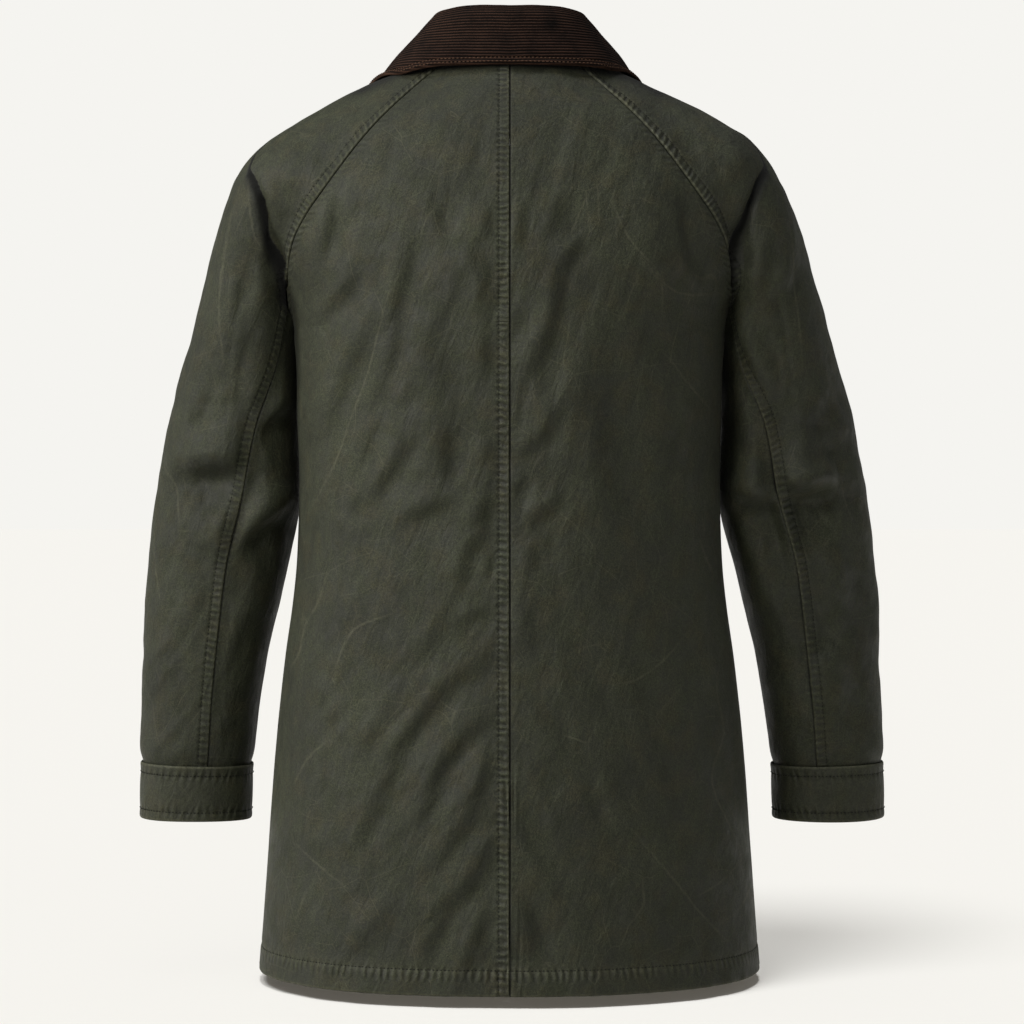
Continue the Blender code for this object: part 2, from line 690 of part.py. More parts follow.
def linked_mesh(name, points, faces, material):
    """An object in the scene with these points, in metres, and its faces turned outward."""
    mesh = bpy.data.meshes.new(name)
    mesh.from_pydata([tuple(point) for point in points], [], faces)
    shape = bmesh.new()
    shape.from_mesh(mesh)
    bmesh.ops.recalc_face_normals(shape, faces=shape.faces)
    if shape.calc_volume(signed=True) < 0:
        bmesh.ops.reverse_faces(shape, faces=shape.faces)
    for face in shape.faces:
        face.smooth = True
    shape.to_mesh(mesh)
    shape.free()
    mesh.materials.append(material)
    body = bpy.data.objects.new(name, mesh)
    bpy.context.scene.collection.objects.link(body)
    return body


def cloth_panel(name, grid, normal, side, material, rise, gap=SEAM_GAP):
    """One panel of cloth on its grid: the wall lies inside, and bands are raised on the outside."""
    inner_normal = grid_normals(grid, normal)[1:-1, 1:-1]
    normal = normal.copy()
    normal[1:-1, 1:-1] = inner_normal
    grid = pulled_in(grid, gap)
    outer = grid + normal * rise[:, :, None]
    inner = grid - normal * CLOTH
    turned = np.array([side, 1, 1])
    return wall_mesh(name, outer * turned, inner * turned, material)


def cloth_material(name, colour, roughness, metallic=0.0):
    material = bpy.data.materials.new(name)
    material.use_nodes = True
    shader = material.node_tree.nodes["Principled BSDF"]
    shader.inputs["Base Color"].default_value = (*colour, 1)
    shader.inputs["Roughness"].default_value = roughness
    shader.inputs["Metallic"].default_value = metallic
    return material


def band_rise(shape, first, last, bottom=False):
    """The rise of the felled bands at the first or last columns, and of the hem."""
    rise = np.zeros(shape)
    if first:
        rise[:, :2] = FELL_RISE
    if last:
        rise[:, -2:] = FELL_RISE
    if bottom:
        rise[-2:, :] = HEM_RISE
    return rise


def cuff(name, arm, material):
    """A cuff: two layers of cloth round the narrowed end of the sleeve."""
    turns = np.radians(np.linspace(0, 360, CUFF_SIDES, endpoint=False))
    outer, inner = [], []
    for drop, lift in CUFF_RINGS:
        place = station_at_drop(arm, np.array([drop]))
        centre, out, half_width, half_depth, centre_y = (value[0] for value in arm_values(arm, place))
        clear = CUFF_CLEARANCE + lift - WRIST_NARROWING
        for rings, grown in ((outer, clear + CUFF_WALL), (inner, clear)):
            level = (np.abs(np.cos(turns)) / (half_width + grown)) ** SECTION_POWER
            level += (np.abs(np.sin(turns)) / (half_depth + grown)) ** SECTION_POWER
            reach = level ** (-1 / SECTION_POWER)
            across = np.cos(turns) * reach
            x = centre[0] + across * out[0]
            z = centre[1] + across * out[1]
            rings.append(np.column_stack([arm["side"] * x, centre_y + np.sin(turns) * reach, z]))
    return wall_mesh(name, np.array(outer), np.array(inner), material, closed=True)


def collar_section(angle, arm, steps):
    """The collar's middle line at one angle: up the stand, over the roll and down the fall."""
    sizes = smooth_rows(COLLAR[:, 0], COLLAR[:, 1:], np.array([abs(angle)]))[0]
    stand_height, roll_out, edge_out, edge_drop, bulge = sizes
    seam = neck_line(arm, np.array([abs(angle)]))[0]
    turn = math.radians(abs(angle))
    direction = np.array([math.sin(turn), math.cos(turn)])
    seam_out = math.hypot(seam[0], seam[1])
    foot = np.array([seam_out - COLLAR_WALL / 2, seam[2] + 0.4])
    roll = np.array([seam_out + roll_out, seam[2] + stand_height])
    edge = np.array([seam_out + edge_out, -edge_drop])
    bend = roll + np.array([ROLL_RADIUS, -ROLL_RADIUS * 0.5])
    crown = roll + np.array([0.0, ROLL_RADIUS * 0.4])
    before = roll + np.array([-ROLL_RADIUS, -ROLL_RADIUS])
    middle = (bend + edge) / 2 + bulge
    controls = np.array([foot, (foot + before) / 2 + np.array([-1.0, 0]), before, crown, bend, middle, edge])
    length = np.concatenate([[0.0], np.cumsum(np.linalg.norm(np.diff(controls, axis=0), axis=1))])
    fine = smooth_rows(length, controls, np.linspace(0, length[-1], 160))
    fine_length = np.concatenate([[0.0], np.cumsum(np.linalg.norm(np.diff(fine, axis=0), axis=1))])
    top = fine_length[np.argmax(fine[:, 1])]
    stand = np.linspace(0, top, 6)[:-1]
    fall = np.linspace(top, fine_length[-1], steps)
    at = np.concatenate([stand, fall])
    line = np.stack([np.interp(at, fine_length, fine[:, axis]) for axis in range(2)], axis=1)
    return direction, line, len(stand)


def collar(name, arms, material):
    """The collar: corduroy with its wales along it, raised on the face that shows."""
    angles = np.linspace(-COLLAR_END_ANGLE, COLLAR_END_ANGLE, COLLAR_COLUMNS_ROUND + 1)
    steps = 2 * WALES + 1
    grid = []
    for angle in angles:
        arm = arms[1] if angle >= 0 else arms[-1]
        direction, line, stand = collar_section(angle, arm, steps)
        sign = 1 if angle >= 0 else -1
        grid.append([(sign * direction[0] * out, direction[1] * out, height) for out, height in line])
    grid = np.array(grid)
    grid[:, stand + 3 :] = lifted_off(grid[:, stand + 3 :], arms)
    normal = grid_normals(grid, -collar_inside(grid, stand))
    wale = np.zeros(grid.shape[1])
    wale[stand + 1 :: 2] = WALE_RISE
    wale[-1] = 0.0
    outer = grid + normal * (COLLAR_WALL / 2 + wale[None, :, None])
    kept = np.concatenate([np.arange(stand), np.linspace(stand, grid.shape[1] - 1, 7).astype(int)])
    inner = (grid - normal * COLLAR_WALL / 2)[:, kept]
    return ribbed_wall(name, outer, inner, material)


def lifted_off(points, arms):
    """The collar's fall, moved out wherever it would be closer to the jacket than it may."""
    result = points.copy()
    for side in (1, -1):
        chosen = points[:, :, 0] * side >= 0
        place = points[chosen] * np.array([side, 1, 1])
        over_fly = (np.abs(place[:, 0]) < FLY_HALF_WIDTH + FLY_SIDE_REACH) & (place[:, 1] < 0)
        needed = COLLAR_WALL / 2 + COLLAR_CLEARANCE + np.where(over_fly, FLY_BASE_LIFT + FLY_WALL, 0.0)
        for _ in range(4):
            gap = form_gap(place, arms[side])
            slope = slope_of(place, lambda p: form_gap(p, arms[side]))
            steep = np.maximum(np.linalg.norm(slope, axis=1), 0.3)
            short = np.maximum(needed - gap / steep, 0)
            place = place + slope / steep[:, None] * short[:, None]
        result[chosen] = place * np.array([side, 1, 1])
    return result


def ribbed_wall(name, outer, inner, material):
    """A solid between a finely ribbed grid and a plainer one with the same rows."""
    rows, fine = outer.shape[:2]
    plain = inner.shape[1]
    points = np.concatenate([outer.reshape(-1, 3), inner.reshape(-1, 3)]) * MM
    below = rows * fine
    faces = []
    for row in range(rows - 1):
        for column in range(fine - 1):
            a, d = row * fine + column, (row + 1) * fine + column
            faces.append((a, a + 1, d + 1, d))
        for column in range(plain - 1):
            a, d = below + row * plain + column, below + (row + 1) * plain + column
            faces.append((d, d + 1, a + 1, a))
        for near, far in ((0, 0), (fine - 1, plain - 1)):
            quad = (
                row * fine + near,
                (row + 1) * fine + near,
                below + (row + 1) * plain + far,
                below + row * plain + far,
            )
            faces.append(quad if near == 0 else quad[::-1])
    for row in (0, rows - 1):
        cap = [row * fine + column for column in range(fine)]
        cap += [below + row * plain + column for column in range(plain - 1, -1, -1)]
        faces.append(tuple(cap[::-1]) if row == 0 else tuple(cap))
    return linked_mesh(name, points, faces, material)


def collar_inside(grid, stand):
    """A direction out of the collar's shown face: towards the neck on the stand, away from it on the fall."""
    flat = grid * np.array([1, 1, 0])
    flat = flat / np.maximum(np.linalg.norm(flat, axis=2), 1e-9)[:, :, None]
    sign = np.ones(grid.shape[1])
    sign[:stand] = -1
    return -flat * sign[None, :, None]


def front_fly(name, arm_left, arm_right, material):
    """A plain strip over the meeting edges of the fronts, moved out from their surface."""
    above_hem = np.linspace(FLY_TOP_DROP, HEM_DROP - HEM_WIDTH - 1.5, FLY_ROWS)
    drops = np.concatenate([above_hem, [HEM_DROP - HEM_WIDTH, HEM_DROP - 1.0]])
    across = np.linspace(-FLY_HALF_WIDTH, FLY_HALF_WIDTH, 5)
    grid = []
    for drop in drops:
        row = []
        for x in across:
            arm = arm_left if x >= 0 else arm_right
            start = np.array([[abs(x), -FAR_OUT, -drop]])
            hit = first_crossing(start, np.array([[0.0, 1.0, 0.0]]), lambda p: form_gap(p, arm), 300, 200)[0]
            row.append((x, hit[1], hit[2]))
        grid.append(row)
    grid = np.array(grid)
    normal = grid_normals(grid, np.broadcast_to([0.0, -1.0, 0.0], grid.shape))
    base = grid + normal * FLY_BASE_LIFT
    outer = base + normal * FLY_WALL
    wall_mesh(name, outer, base, material)
    return outer


def press_stud(name, seat, out, material):
    """The domed cap of a press stud, standing on the fly."""
    first = np.cross(out, np.array([0, 0, 1.0]))
    first /= np.linalg.norm(first)
    second = np.cross(out, first)
    turns = np.linspace(0, 2 * math.pi, STUD_SIDES, endpoint=False)
    spokes = np.cos(turns)[:, None] * first + np.sin(turns)[:, None] * second
    rings = [seat + out * rise * STUD_HEIGHT + spokes * reach * STUD_RADIUS for rise, reach in STUD_PROFILE]
    points = np.concatenate(rings) * MM
    faces = []
    for level in range(len(rings) - 1):
        for index in range(STUD_SIDES):
            after = (index + 1) % STUD_SIDES
            low, high = level * STUD_SIDES, (level + 1) * STUD_SIDES
            faces.append((low + index, low + after, high + after, high + index))
    faces.append(tuple(range(STUD_SIDES)))
    faces.append(tuple(range(len(points) - STUD_SIDES, len(points))))
    return linked_mesh(name, points, faces, material)


def build_side(side, cotton):
    """All the panels of one side."""
    arm = arm_of(side)
    label = "left" if side > 0 else "right"
    station, back_turn, back_corner = armhole_corner(arm, 1)
    _, front_turn, front_corner = armhole_corner(arm, -1)
    back_raglan = raglan_line(arm, 1, back_corner)
    front_raglan = raglan_line(arm, -1, front_corner)
    armhole = armhole_line(arm, back_corner, front_corner)
    underarm = armhole[ARMHOLE_ROWS]
    side_seam = side_line(arm, underarm)
    back_sleeve = sleeve_lines(arm, 1, station, back_turn, back_corner)
    front_sleeve = sleeve_lines(arm, -1, station, front_turn, front_corner)

    back_border = np.vstack([back_raglan, armhole[1:ARMHOLE_ROWS], side_seam])
    front_border = np.vstack([front_raglan, armhole[::-1][1:ARMHOLE_ROWS], side_seam])
    for facing, border, columns, name in (
        (1, back_border, BACK_COLUMNS, "back_"),
        (-1, front_border, FRONT_COLUMNS, "front_"),
    ):
        grid = body_rows(arm, border, facing, columns)
        rise = band_rise(grid.shape[:2], facing > 0 and side > 0, facing > 0, True)
        rise[: RAGLAN_ROWS + ARMHOLE_ROWS + 2, -2:] = 0
        normal = normals_of(grid, lambda p: panel_gap(p, arm))
        grid[RAGLAN_ROWS + 1 : RAGLAN_ROWS + ARMHOLE_ROWS + 1, -1, 2] -= ARMHOLE_CLEARANCE
        cloth_panel(name + label, grid, normal, side, cotton, rise)

    grid = outer_sleeve_rows(arm, back_raglan, front_raglan, back_sleeve, front_sleeve)
    rise = band_rise(grid.shape[:2], True, True)
    rise[RAGLAN_ROWS - 3 : RAGLAN_ROWS + 4] = 0
    rise[-2:] = 0
    normal = normals_of(grid, lambda p: form_gap(p, arm))
    ends = normal[RAGLAN_ROWS, [0, -1]].copy()
    normal[RAGLAN_ROWS:] = normals_of(grid[RAGLAN_ROWS:], lambda p: sleeve_gap(p, arm, ARM_CLEARANCE))
    normal[RAGLAN_ROWS, [0, -1]] = ends
    gap = np.full(len(grid), SEAM_GAP)
    gap[RAGLAN_ROWS - 2 : RAGLAN_ROWS + 2] = CORNER_GAP
    cloth_panel("sleeve_outer_" + label, grid, normal, side, cotton, rise, gap)
    grid = under_sleeve_rows(arm, armhole, back_sleeve, front_sleeve)
    normal = normals_of(grid, lambda p: sleeve_gap(p, arm, ARM_CLEARANCE))
    corners = normal[0, [0, -1]] + ends
    normal[0, [0, -1]] = corners / np.linalg.norm(corners, axis=1)[:, None]
    grid[0, 1:-1] -= normal[0, 1:-1] * ARMHOLE_CLEARANCE
    gap = np.full(len(grid), SEAM_GAP)
    gap[:2] = UNDERARM_GAPS
    cloth_panel("sleeve_under_" + label, grid, normal, side, cotton, np.zeros(grid.shape[:2]), gap)
    cuff("cuff_" + label, arm, cotton)
    return arm


def main():
    for old in list(bpy.data.objects):
        bpy.data.objects.remove(old, do_unlink=True)
    cotton = cloth_material("waxed_cotton", (0.055, 0.06, 0.035), 0.6)
    corduroy = cloth_material("brown_corduroy", (0.035, 0.018, 0.011), 0.9)
    brass = cloth_material("antique_brass", (0.35, 0.24, 0.1), 0.35, 1.0)
    left = build_side(1, cotton)
    right = build_side(-1, cotton)
    collar("collar", {1: left, -1: right}, corduroy)
    fly = front_fly("front_fly", left, right, cotton)
    middle = fly[:, fly.shape[1] // 2]
    for number, drop in enumerate(STUD_DROPS, start=1):
        below = int(np.argmax(-middle[:, 2] > drop))
        run = middle[below] - middle[below - 1]
        seat = middle[below - 1] + run * (drop + middle[below - 1, 2]) / -run[2]
        out = np.cross(run, np.array([1.0, 0.0, 0.0]))
        out /= -np.linalg.norm(out) * np.sign(out[1])
        press_stud(f"press_stud_{number}", seat + out * STUD_LIFT, out, brass)


main()
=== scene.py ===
"""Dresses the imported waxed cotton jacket: cloth panels with their folds, felled seams, stitches and collar.

Everything is in metres in the part's own frame: the wearer faces -Y, +X is the wearer's left, and the origin
is the middle of the neck opening. Sizes inside the functions are millimetres, as a cutter would write them.
"""

import math
from functools import partial

import bpy
import numpy as np
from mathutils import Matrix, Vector, noise


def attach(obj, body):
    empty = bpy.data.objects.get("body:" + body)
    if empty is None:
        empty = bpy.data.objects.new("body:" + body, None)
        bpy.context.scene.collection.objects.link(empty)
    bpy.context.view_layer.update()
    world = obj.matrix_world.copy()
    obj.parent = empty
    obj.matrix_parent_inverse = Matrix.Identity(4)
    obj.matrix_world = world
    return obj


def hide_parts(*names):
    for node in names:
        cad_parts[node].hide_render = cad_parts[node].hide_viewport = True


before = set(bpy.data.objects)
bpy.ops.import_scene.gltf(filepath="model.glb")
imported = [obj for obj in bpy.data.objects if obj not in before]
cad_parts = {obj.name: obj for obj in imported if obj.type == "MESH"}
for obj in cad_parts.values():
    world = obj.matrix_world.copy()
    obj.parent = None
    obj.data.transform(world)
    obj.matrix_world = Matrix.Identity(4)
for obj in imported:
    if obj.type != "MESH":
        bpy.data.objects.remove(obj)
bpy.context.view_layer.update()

# ---- Studio ------------------------------------------------------------------------------------------------
# The jacket is held filled out just above a pale seamless floor. A small soft lamp stands close behind it on
# the left, a broad one farther round, a faint one on the right and one above. Three more light the floor.

MM = 0.001
FLOOR_HEIGHT = -0.8445
FLOOR_REACH = 60.0
FLOOR_COLOUR = "#F4F3EF"
ROOM_SEEN = ("#F5F4F0", 1.0)  # colour and strength of the room behind the jacket
ROOM_LIGHT = ("#FAFBFC", 0.1)  # and of the light that it gives
NEAR_LAMP = (18.0, "#FFFEFA", 0.2, (0.55, 0.95, 0.2))  # watts, colour, radius and place
LAMPS = (
    # name, strength, colour, degrees across, round towards the wearer's left and up, and whether on the floor
    ("side_lamp", 1.75, "#FFFEFA", 26.0, 72.0, 26.0, False),
    ("right_lamp", 0.05, "#FFFFFF", 20.0, -95.0, 55.0, False),
    ("top_lamp", 0.8, "#FAFCFF", 24.0, 10.0, 80.0, False),
    ("overhead_lamp", 1.387, "#FFFFFF", 9.0, 0.0, 70.0, True),
    ("front_lamp", 1.42, "#FFFFFF", 22.0, 42.0, 62.0, True),
    ("floor_fill", 0.36, "#FFF6E8", 20.0, 0.0, 80.0, True),  # it lifts the shadows, and throws none
)
VIEW_PLACE = (-0.0023, 2.3, -0.412)
VIEW_LENS, VIEW_SENSOR = 86.95, 36.0


def linear(code, alpha=1.0):
    """An sRGB hex colour as linear red, green, blue and alpha."""
    parts = [int(code[i : i + 2], 16) / 255 for i in (1, 3, 5)]
    return (*[p / 12.92 if p <= 0.04045 else ((p + 0.055) / 1.055) ** 2.4 for p in parts], alpha)


def add_node(tree, kind, inputs=(), out=0, **settings):
    """One node with its settings and its inputs, in order or by name, each a value or another node's output.

    It gives back the output that is asked for, or all of them where none is.
    """
    made = tree.nodes.new(kind)
    for name, value in settings.items():
        setattr(made, name, value)
    for name, value in inputs.items() if isinstance(inputs, dict) else enumerate(inputs):
        if isinstance(value, bpy.types.NodeSocket):
            tree.links.new(value, made.inputs[name])
        else:
            made.inputs[name].default_value = value
    return made.outputs if out is None else made.outputs[out]


scene = bpy.context.scene
scene.view_settings.view_transform = "Standard"
scene.view_settings.look = "None"

room = bpy.data.worlds.new("pale_room")
room.use_nodes = True
room.node_tree.nodes.clear()
rays = add_node(room.node_tree, "ShaderNodeLightPath", out="Is Camera Ray")
felt, seen = (
    add_node(room.node_tree, "ShaderNodeBackground", (linear(code), strength))
    for code, strength in (ROOM_LIGHT, ROOM_SEEN)
)
both = add_node(room.node_tree, "ShaderNodeMixShader", (rays, felt, seen))
add_node(room.node_tree, "ShaderNodeOutputWorld", (both,), None)
scene.world = room

corners = [(x * FLOOR_REACH, y * FLOOR_REACH, FLOOR_HEIGHT) for x, y in ((-1, -1), (1, -1), (1, 1), (-1, 1))]
floor_mesh = bpy.data.meshes.new("floor")
floor_mesh.from_pydata(corners, [], [(0, 1, 2, 3)])
floor = bpy.data.objects.new("floor", floor_mesh)
scene.collection.objects.link(floor)
floor.visible_diffuse = False
paper = bpy.data.materials.new("matt_paper_sweep")
paper.use_nodes = True
paper.node_tree.nodes.clear()
matt = add_node(paper.node_tree, "ShaderNodeBsdfDiffuse", (linear(FLOOR_COLOUR),))
add_node(paper.node_tree, "ShaderNodeOutputMaterial", (matt,), None)
floor_mesh.materials.append(paper)

floor_shade = bpy.data.collections.new("shades_the_floor")  # the pieces whose shadows show on the floor


def place_lamp(name, kind, strength, colour, on_floor):
    """A lamp that lights either the floor alone or everything but the floor."""
    lamp_data = bpy.data.lights.new(name, kind)
    lamp_data.energy = strength
    lamp_data.color = linear(colour)[:3]
    lamp = bpy.data.objects.new(name, lamp_data)
    scene.collection.objects.link(lamp)
    lit = bpy.data.collections.new(name + "_lights")
    lit.objects.link(floor)
    lit.collection_objects[0].light_linking.link_state = "INCLUDE" if on_floor else "EXCLUDE"
    lamp.light_linking.receiver_collection = lit
    if on_floor:
        lamp.light_linking.blocker_collection = floor_shade
    return lamp


for name, strength, colour, across, round_turn, up, on_floor in LAMPS:
    lamp = place_lamp(name, "SUN", strength, colour, on_floor)
    lamp.data.angle = math.radians(across)
    turn, rise = math.radians(round_turn), math.radians(up)
    towards = Vector((math.sin(turn) * math.cos(rise), math.cos(turn) * math.cos(rise), math.sin(rise)))
    lamp.data.use_shadow = name != "floor_fill"
    lamp.rotation_euler = towards.to_track_quat("Z", "Y").to_euler()
lamp = place_lamp("near_lamp", "POINT", NEAR_LAMP[0], NEAR_LAMP[1], False)
lamp.data.shadow_soft_size = NEAR_LAMP[2]
lamp.location = NEAR_LAMP[3]
lamp.visible_camera = False

camera_data = bpy.data.cameras.new("camera")
camera_data.lens, camera_data.sensor_width = VIEW_LENS, VIEW_SENSOR
camera = bpy.data.objects.new("camera", camera_data)
camera.location = VIEW_PLACE
camera.rotation_euler = (math.pi / 2, 0.0, math.pi)
scene.collection.objects.link(camera)
scene.camera = camera

# ---- Hollow form and back panels ---------------------------------------------------------------------------
# The real jacket's body is cut from waxed cotton and sewn with felled seams. The form is a torso and two arms
# joined softly. Every panel is worked out on the left, and the right one is its mirror apart from arm sizes.

CLOTH = 1.3  # one layer of waxed cotton
ARMHOLE_CLEARANCE = 0.3
ARM_CLEARANCE = 2.2  # between the sleeve and the body below the armhole
SLOPE_STEP = 0.8
SECTION_POWER = 2.2  # squareness of a sleeve's section, 2 is an ellipse
CREASE_FADE = 40.0
RAY_START = 2.0  # surfaces are sought from this far along each ray
FAR_OUT = 260.0  # a level outside the whole jacket, front or back
INSIDE = 60.0  # a place across that is inside the body at every drop
CLEARANCE_RUN = 14.0  # the sleeve comes clear of the body over this length
INNER_EXTRA_DROP = 26.0  # a sleeve's inner side hangs this much lower than its outer line
TOP_SHARE = 0.3  # how far the rows over the shoulder are centred towards its top
SEAM_EASE = 120.0  # the sleeve seams swing from the armhole's corners to their own line over this length
ARMHOLE_STATION_DROP = 196.0  # the arm section whose plane passes through the armhole's corners
ARMHOLE_DIP = 22.0  # the underarm point is this far below the corners
HEM_DROP = 834.0
SLEEVE_FULL_DROP = 638.0  # below this the sleeve narrows into its cuff
SLEEVE_END_DROP = 663.0
WRIST_NARROWING = 2.8  # the sleeve's fullness taken up by the cuff, on each side
WRIST_NARROWING_RUN = 8.0
SHIFT_RUN = 22.0  # a seam's neighbours ease onto it over this length
SEAM_STEPS = (0.0, 0.4, 1.0, 1.8, 3.0, 4.8, 6.6, 8.2, 9.2, 9.8, 10.6, 12.0, 14.0)  # columns beside a seam
HEM_STEPS = (0.0, 0.5, 1.3, 2.8, 6.0, 11.0, 16.5, 20.0, 21.6, 22.6, 24.0, 26.5)
RAGLAN_ROWS = 12
ARMHOLE_ROWS = 3
SIDE_ROWS = 16
SLEEVE_ROWS = 22

# drop, half width, back depth, front depth, squareness of the body's level sections
TORSO = np.array(
    [
        (-16, 58, 55, 46, 2.0), (-9, 70, 58, 50, 2.0), (0, 88, 62, 56, 2.0), (14, 108, 73, 64, 2.0),
        (29, 135, 84, 72, 2.0), (47, 170, 95, 80, 2.05), (66, 203, 104, 88, 2.1), (85, 226, 110, 96, 2.1),
        (105, 239, 115, 104, 2.15), (131, 241, 120, 112, 2.25), (161, 234, 124, 121, 2.3),
        (190, 219, 127, 127, 2.35), (222, 204, 128, 132, 2.35), (250, 199, 128, 134, 2.35),
        (300, 197, 127, 135, 2.35), (400, 195, 126, 133, 2.3), (475, 198, 129, 134, 2.3),
        (550, 208, 134, 137, 2.25), (625, 216, 139, 141, 2.2), (735, 224, 145, 146, 2.2),
        (834, 231, 150, 150, 2.2),
    ]
)

# drop, outer line left and right, half width, half depth and middle of the arms' sections
ARM = np.array(
    [
        (-9, 71, 71, 60, 58, 0), (14, 124, 124, 64, 72, 0), (46, 186, 186, 62, 82, -1),
        (66, 218, 217, 57, 86, -2), (85, 240, 238, 50, 86, -4), (104, 253, 250, 44, 85, -6),
        (141, 267, 266, 39, 83, -10), (196, 283, 284, 44, 79, -17), (250, 299, 301, 51, 76, -24),
        (308, 315, 319, 59, 71, -30), (401, 334, 337, 67, 65, -34), (475, 342, 346, 64, 61, -36),
        (550, 346, 350, 58, 57, -39), (620, 348, 353, 54, 51, -42), (640, 348.5, 353.5, 53.3, 50, -43),
        (660, 349, 354, 53, 49.5, -43.8), (705, 350, 355, 53, 49.5, -44.2),
    ]
)
# drop, and how softly the arm runs into the body there
BLEND = np.array([(-16, 4), (50, 5), (105, 9), (150, 12), (190, 12), (208, 9), (224, 6), (300, 2)])
# across and drop of the raglan seams, behind and before
BACK_RAGLAN = np.array(
    [
        (71, 12), (103, 44), (126, 70), (143, 91.5), (160, 115), (177, 138), (191, 159), (197.5, 176),
        (200.5, 188),
    ]
)
FRONT_RAGLAN = np.array(
    [(92, 58), (116, 82), (137, 104), (155, 126), (171, 147), (183, 166), (189.5, 180), (194, 194)]
)
RAGLAN_NECK_ANGLE = {"back": 52.0, "front": 128.0}  # degrees round the neck from the centre back
# degrees round the neck from the centre back, and the neck seam's drop there
NECK = np.array([(0, 0), (30, -1), (52, -4), (90, -9), (110, 2), (128, 17), (150, 42), (180, 60)])
# drop, and how far round the sleeve from its outer line the seam lies, in degrees
SLEEVE_SEAM = np.array(
    [
        (222, 146), (250, 134), (285, 124), (320, 114), (360, 109), (400, 107), (460, 104), (560, 106),
        (660, 108),
    ]
)
# The deep crease where each sleeve's head meets the body, behind and before: across and drop of its start and
# end, how far it bows, its half width, its height and how sharp it is
HEAD_CREASES = {1: ((230, 108, 204.5, 190, 0, 16, -7, 2),), -1: ((228.5, 112, 204, 190, 0, 16, -6, 2),)}


def smooth_rows(keys, rows, at):
    """Every column of a table at the given keys, by a cubic through its rows."""
    rows = np.asarray(rows, float)
    at = np.clip(at, keys[0], keys[-1])
    slopes = np.gradient(rows, keys, axis=0)
    span = np.clip(np.searchsorted(keys, at, side="right") - 1, 0, len(keys) - 2)
    step = (keys[span + 1] - keys[span])[:, None]
    part = (at - keys[span])[:, None] / step
    square, cube = part**2, part**3
    return (
        (2 * cube - 3 * square + 1) * rows[span]
        + (cube - 2 * square + part) * step * slopes[span]
        + (3 * square - 2 * cube) * rows[span + 1]
        + (cube - square) * step * slopes[span + 1]
    )


def table_value(table, at, column=1):
    """One column of a table at the given values of its first column."""
    return smooth_rows(table[:, 0], table[:, [column]], np.atleast_1d(np.asarray(at, float)))[:, 0]


def running_length(points):
    """How far along a line of points each point is."""
    steps = np.linalg.norm(np.diff(points, axis=0), axis=1)
    return np.concatenate([[0.0], np.cumsum(steps)])


def resample(points, distances):
    """Points at the given distances along a line of points."""
    length = running_length(points)
    return np.stack([np.interp(distances, length, points[:, axis]) for axis in range(3)], axis=1)


def even(row, columns):
    """The row again, in even steps."""
    return resample(row, np.linspace(0, running_length(row)[-1], columns + 1))


def fold_sum(table, across, drop):
    """The folds' height at each place: each is bowed, tapered to its ends and soft or sharp across."""
    total = np.zeros_like(across)
    for start_x, start_y, end_x, end_y, bow, half_width, height, sharp in table:
        run = np.array([end_x - start_x, end_y - start_y])
        length = np.linalg.norm(run)
        part = ((across - start_x) * run[0] + (drop - start_y) * run[1]) / length**2
        inside = np.clip(part, 0, 1)
        away = ((across - start_x) * run[1] - (drop - start_y) * run[0]) / length
        away = away - bow * 4 * inside * (1 - inside)
        taper = np.clip(1 - (2 * inside - 1) ** 4, 0, 1)
        beyond = np.maximum(np.maximum(-part, part - 1), 0) * length
        level = np.exp(-(np.abs(away / half_width) ** sharp) - (beyond / half_width) ** 2)
        total += height * (0.25 + 0.75 * taper) * level
    return total


def torso_gap(points):
    """How far outside the body each point is, level with it."""
    sizes = smooth_rows(TORSO[:, 0], TORSO[:, 1:], -points[:, 2])
    at_back = points[:, 1] > 0
    depth = np.where(at_back, sizes[:, 1], sizes[:, 2])
    power = sizes[:, 3]
    across = np.abs(points[:, 0])
    level = (across / sizes[:, 0]) ** power + (np.abs(points[:, 1]) / depth) ** power
    level = np.maximum(level, 1e-6) ** (1 / power)
    reach = np.hypot(points[:, 0], points[:, 1])
    return reach * (1 - 1 / level)


def arm_of(side):
    """Stations down one arm: the centre, the direction down it and the direction out of it."""
    column = 1 if side > 0 else 2
    outer = np.stack([ARM[:, column], -ARM[:, 0]], axis=1)
    keys = running_length(outer)
    at = np.linspace(0, keys[-1], 130)
    line = smooth_rows(keys, np.column_stack([outer, ARM[:, 3:]]), at)
    down = np.gradient(line[:, :2], at, axis=0)
    down /= np.linalg.norm(down, axis=1)[:, None]
    out = np.stack([-down[:, 1], down[:, 0]], axis=1)
    centre = line[:, :2] - line[:, 2:3] * out
    steps = np.diff(centre, axis=0)
    forward = np.maximum((steps * down[1:]).sum(axis=1), 1e-3)
    return {
        "outer": line[:, :2],
        "station": np.concatenate([[0.0], np.cumsum(forward)]),
        "down": down,
        "out": out,
        "centre": centre,
        "half_width": line[:, 2],
        "half_depth": line[:, 3],
        "centre_y": line[:, 4],
    }


def arm_values(arm, station):
    """The arm's sizes at the given stations."""
    known = arm["station"]

    def read(column):
        return np.interp(station, known, column)

    out = np.stack([read(arm["out"][:, 0]), read(arm["out"][:, 1])], axis=1)
    out /= np.linalg.norm(out, axis=1)[:, None]
    centre = np.stack([read(arm["centre"][:, 0]), read(arm["centre"][:, 1])], axis=1)
    return centre, out, read(arm["half_width"]), read(arm["half_depth"]), read(arm["centre_y"])


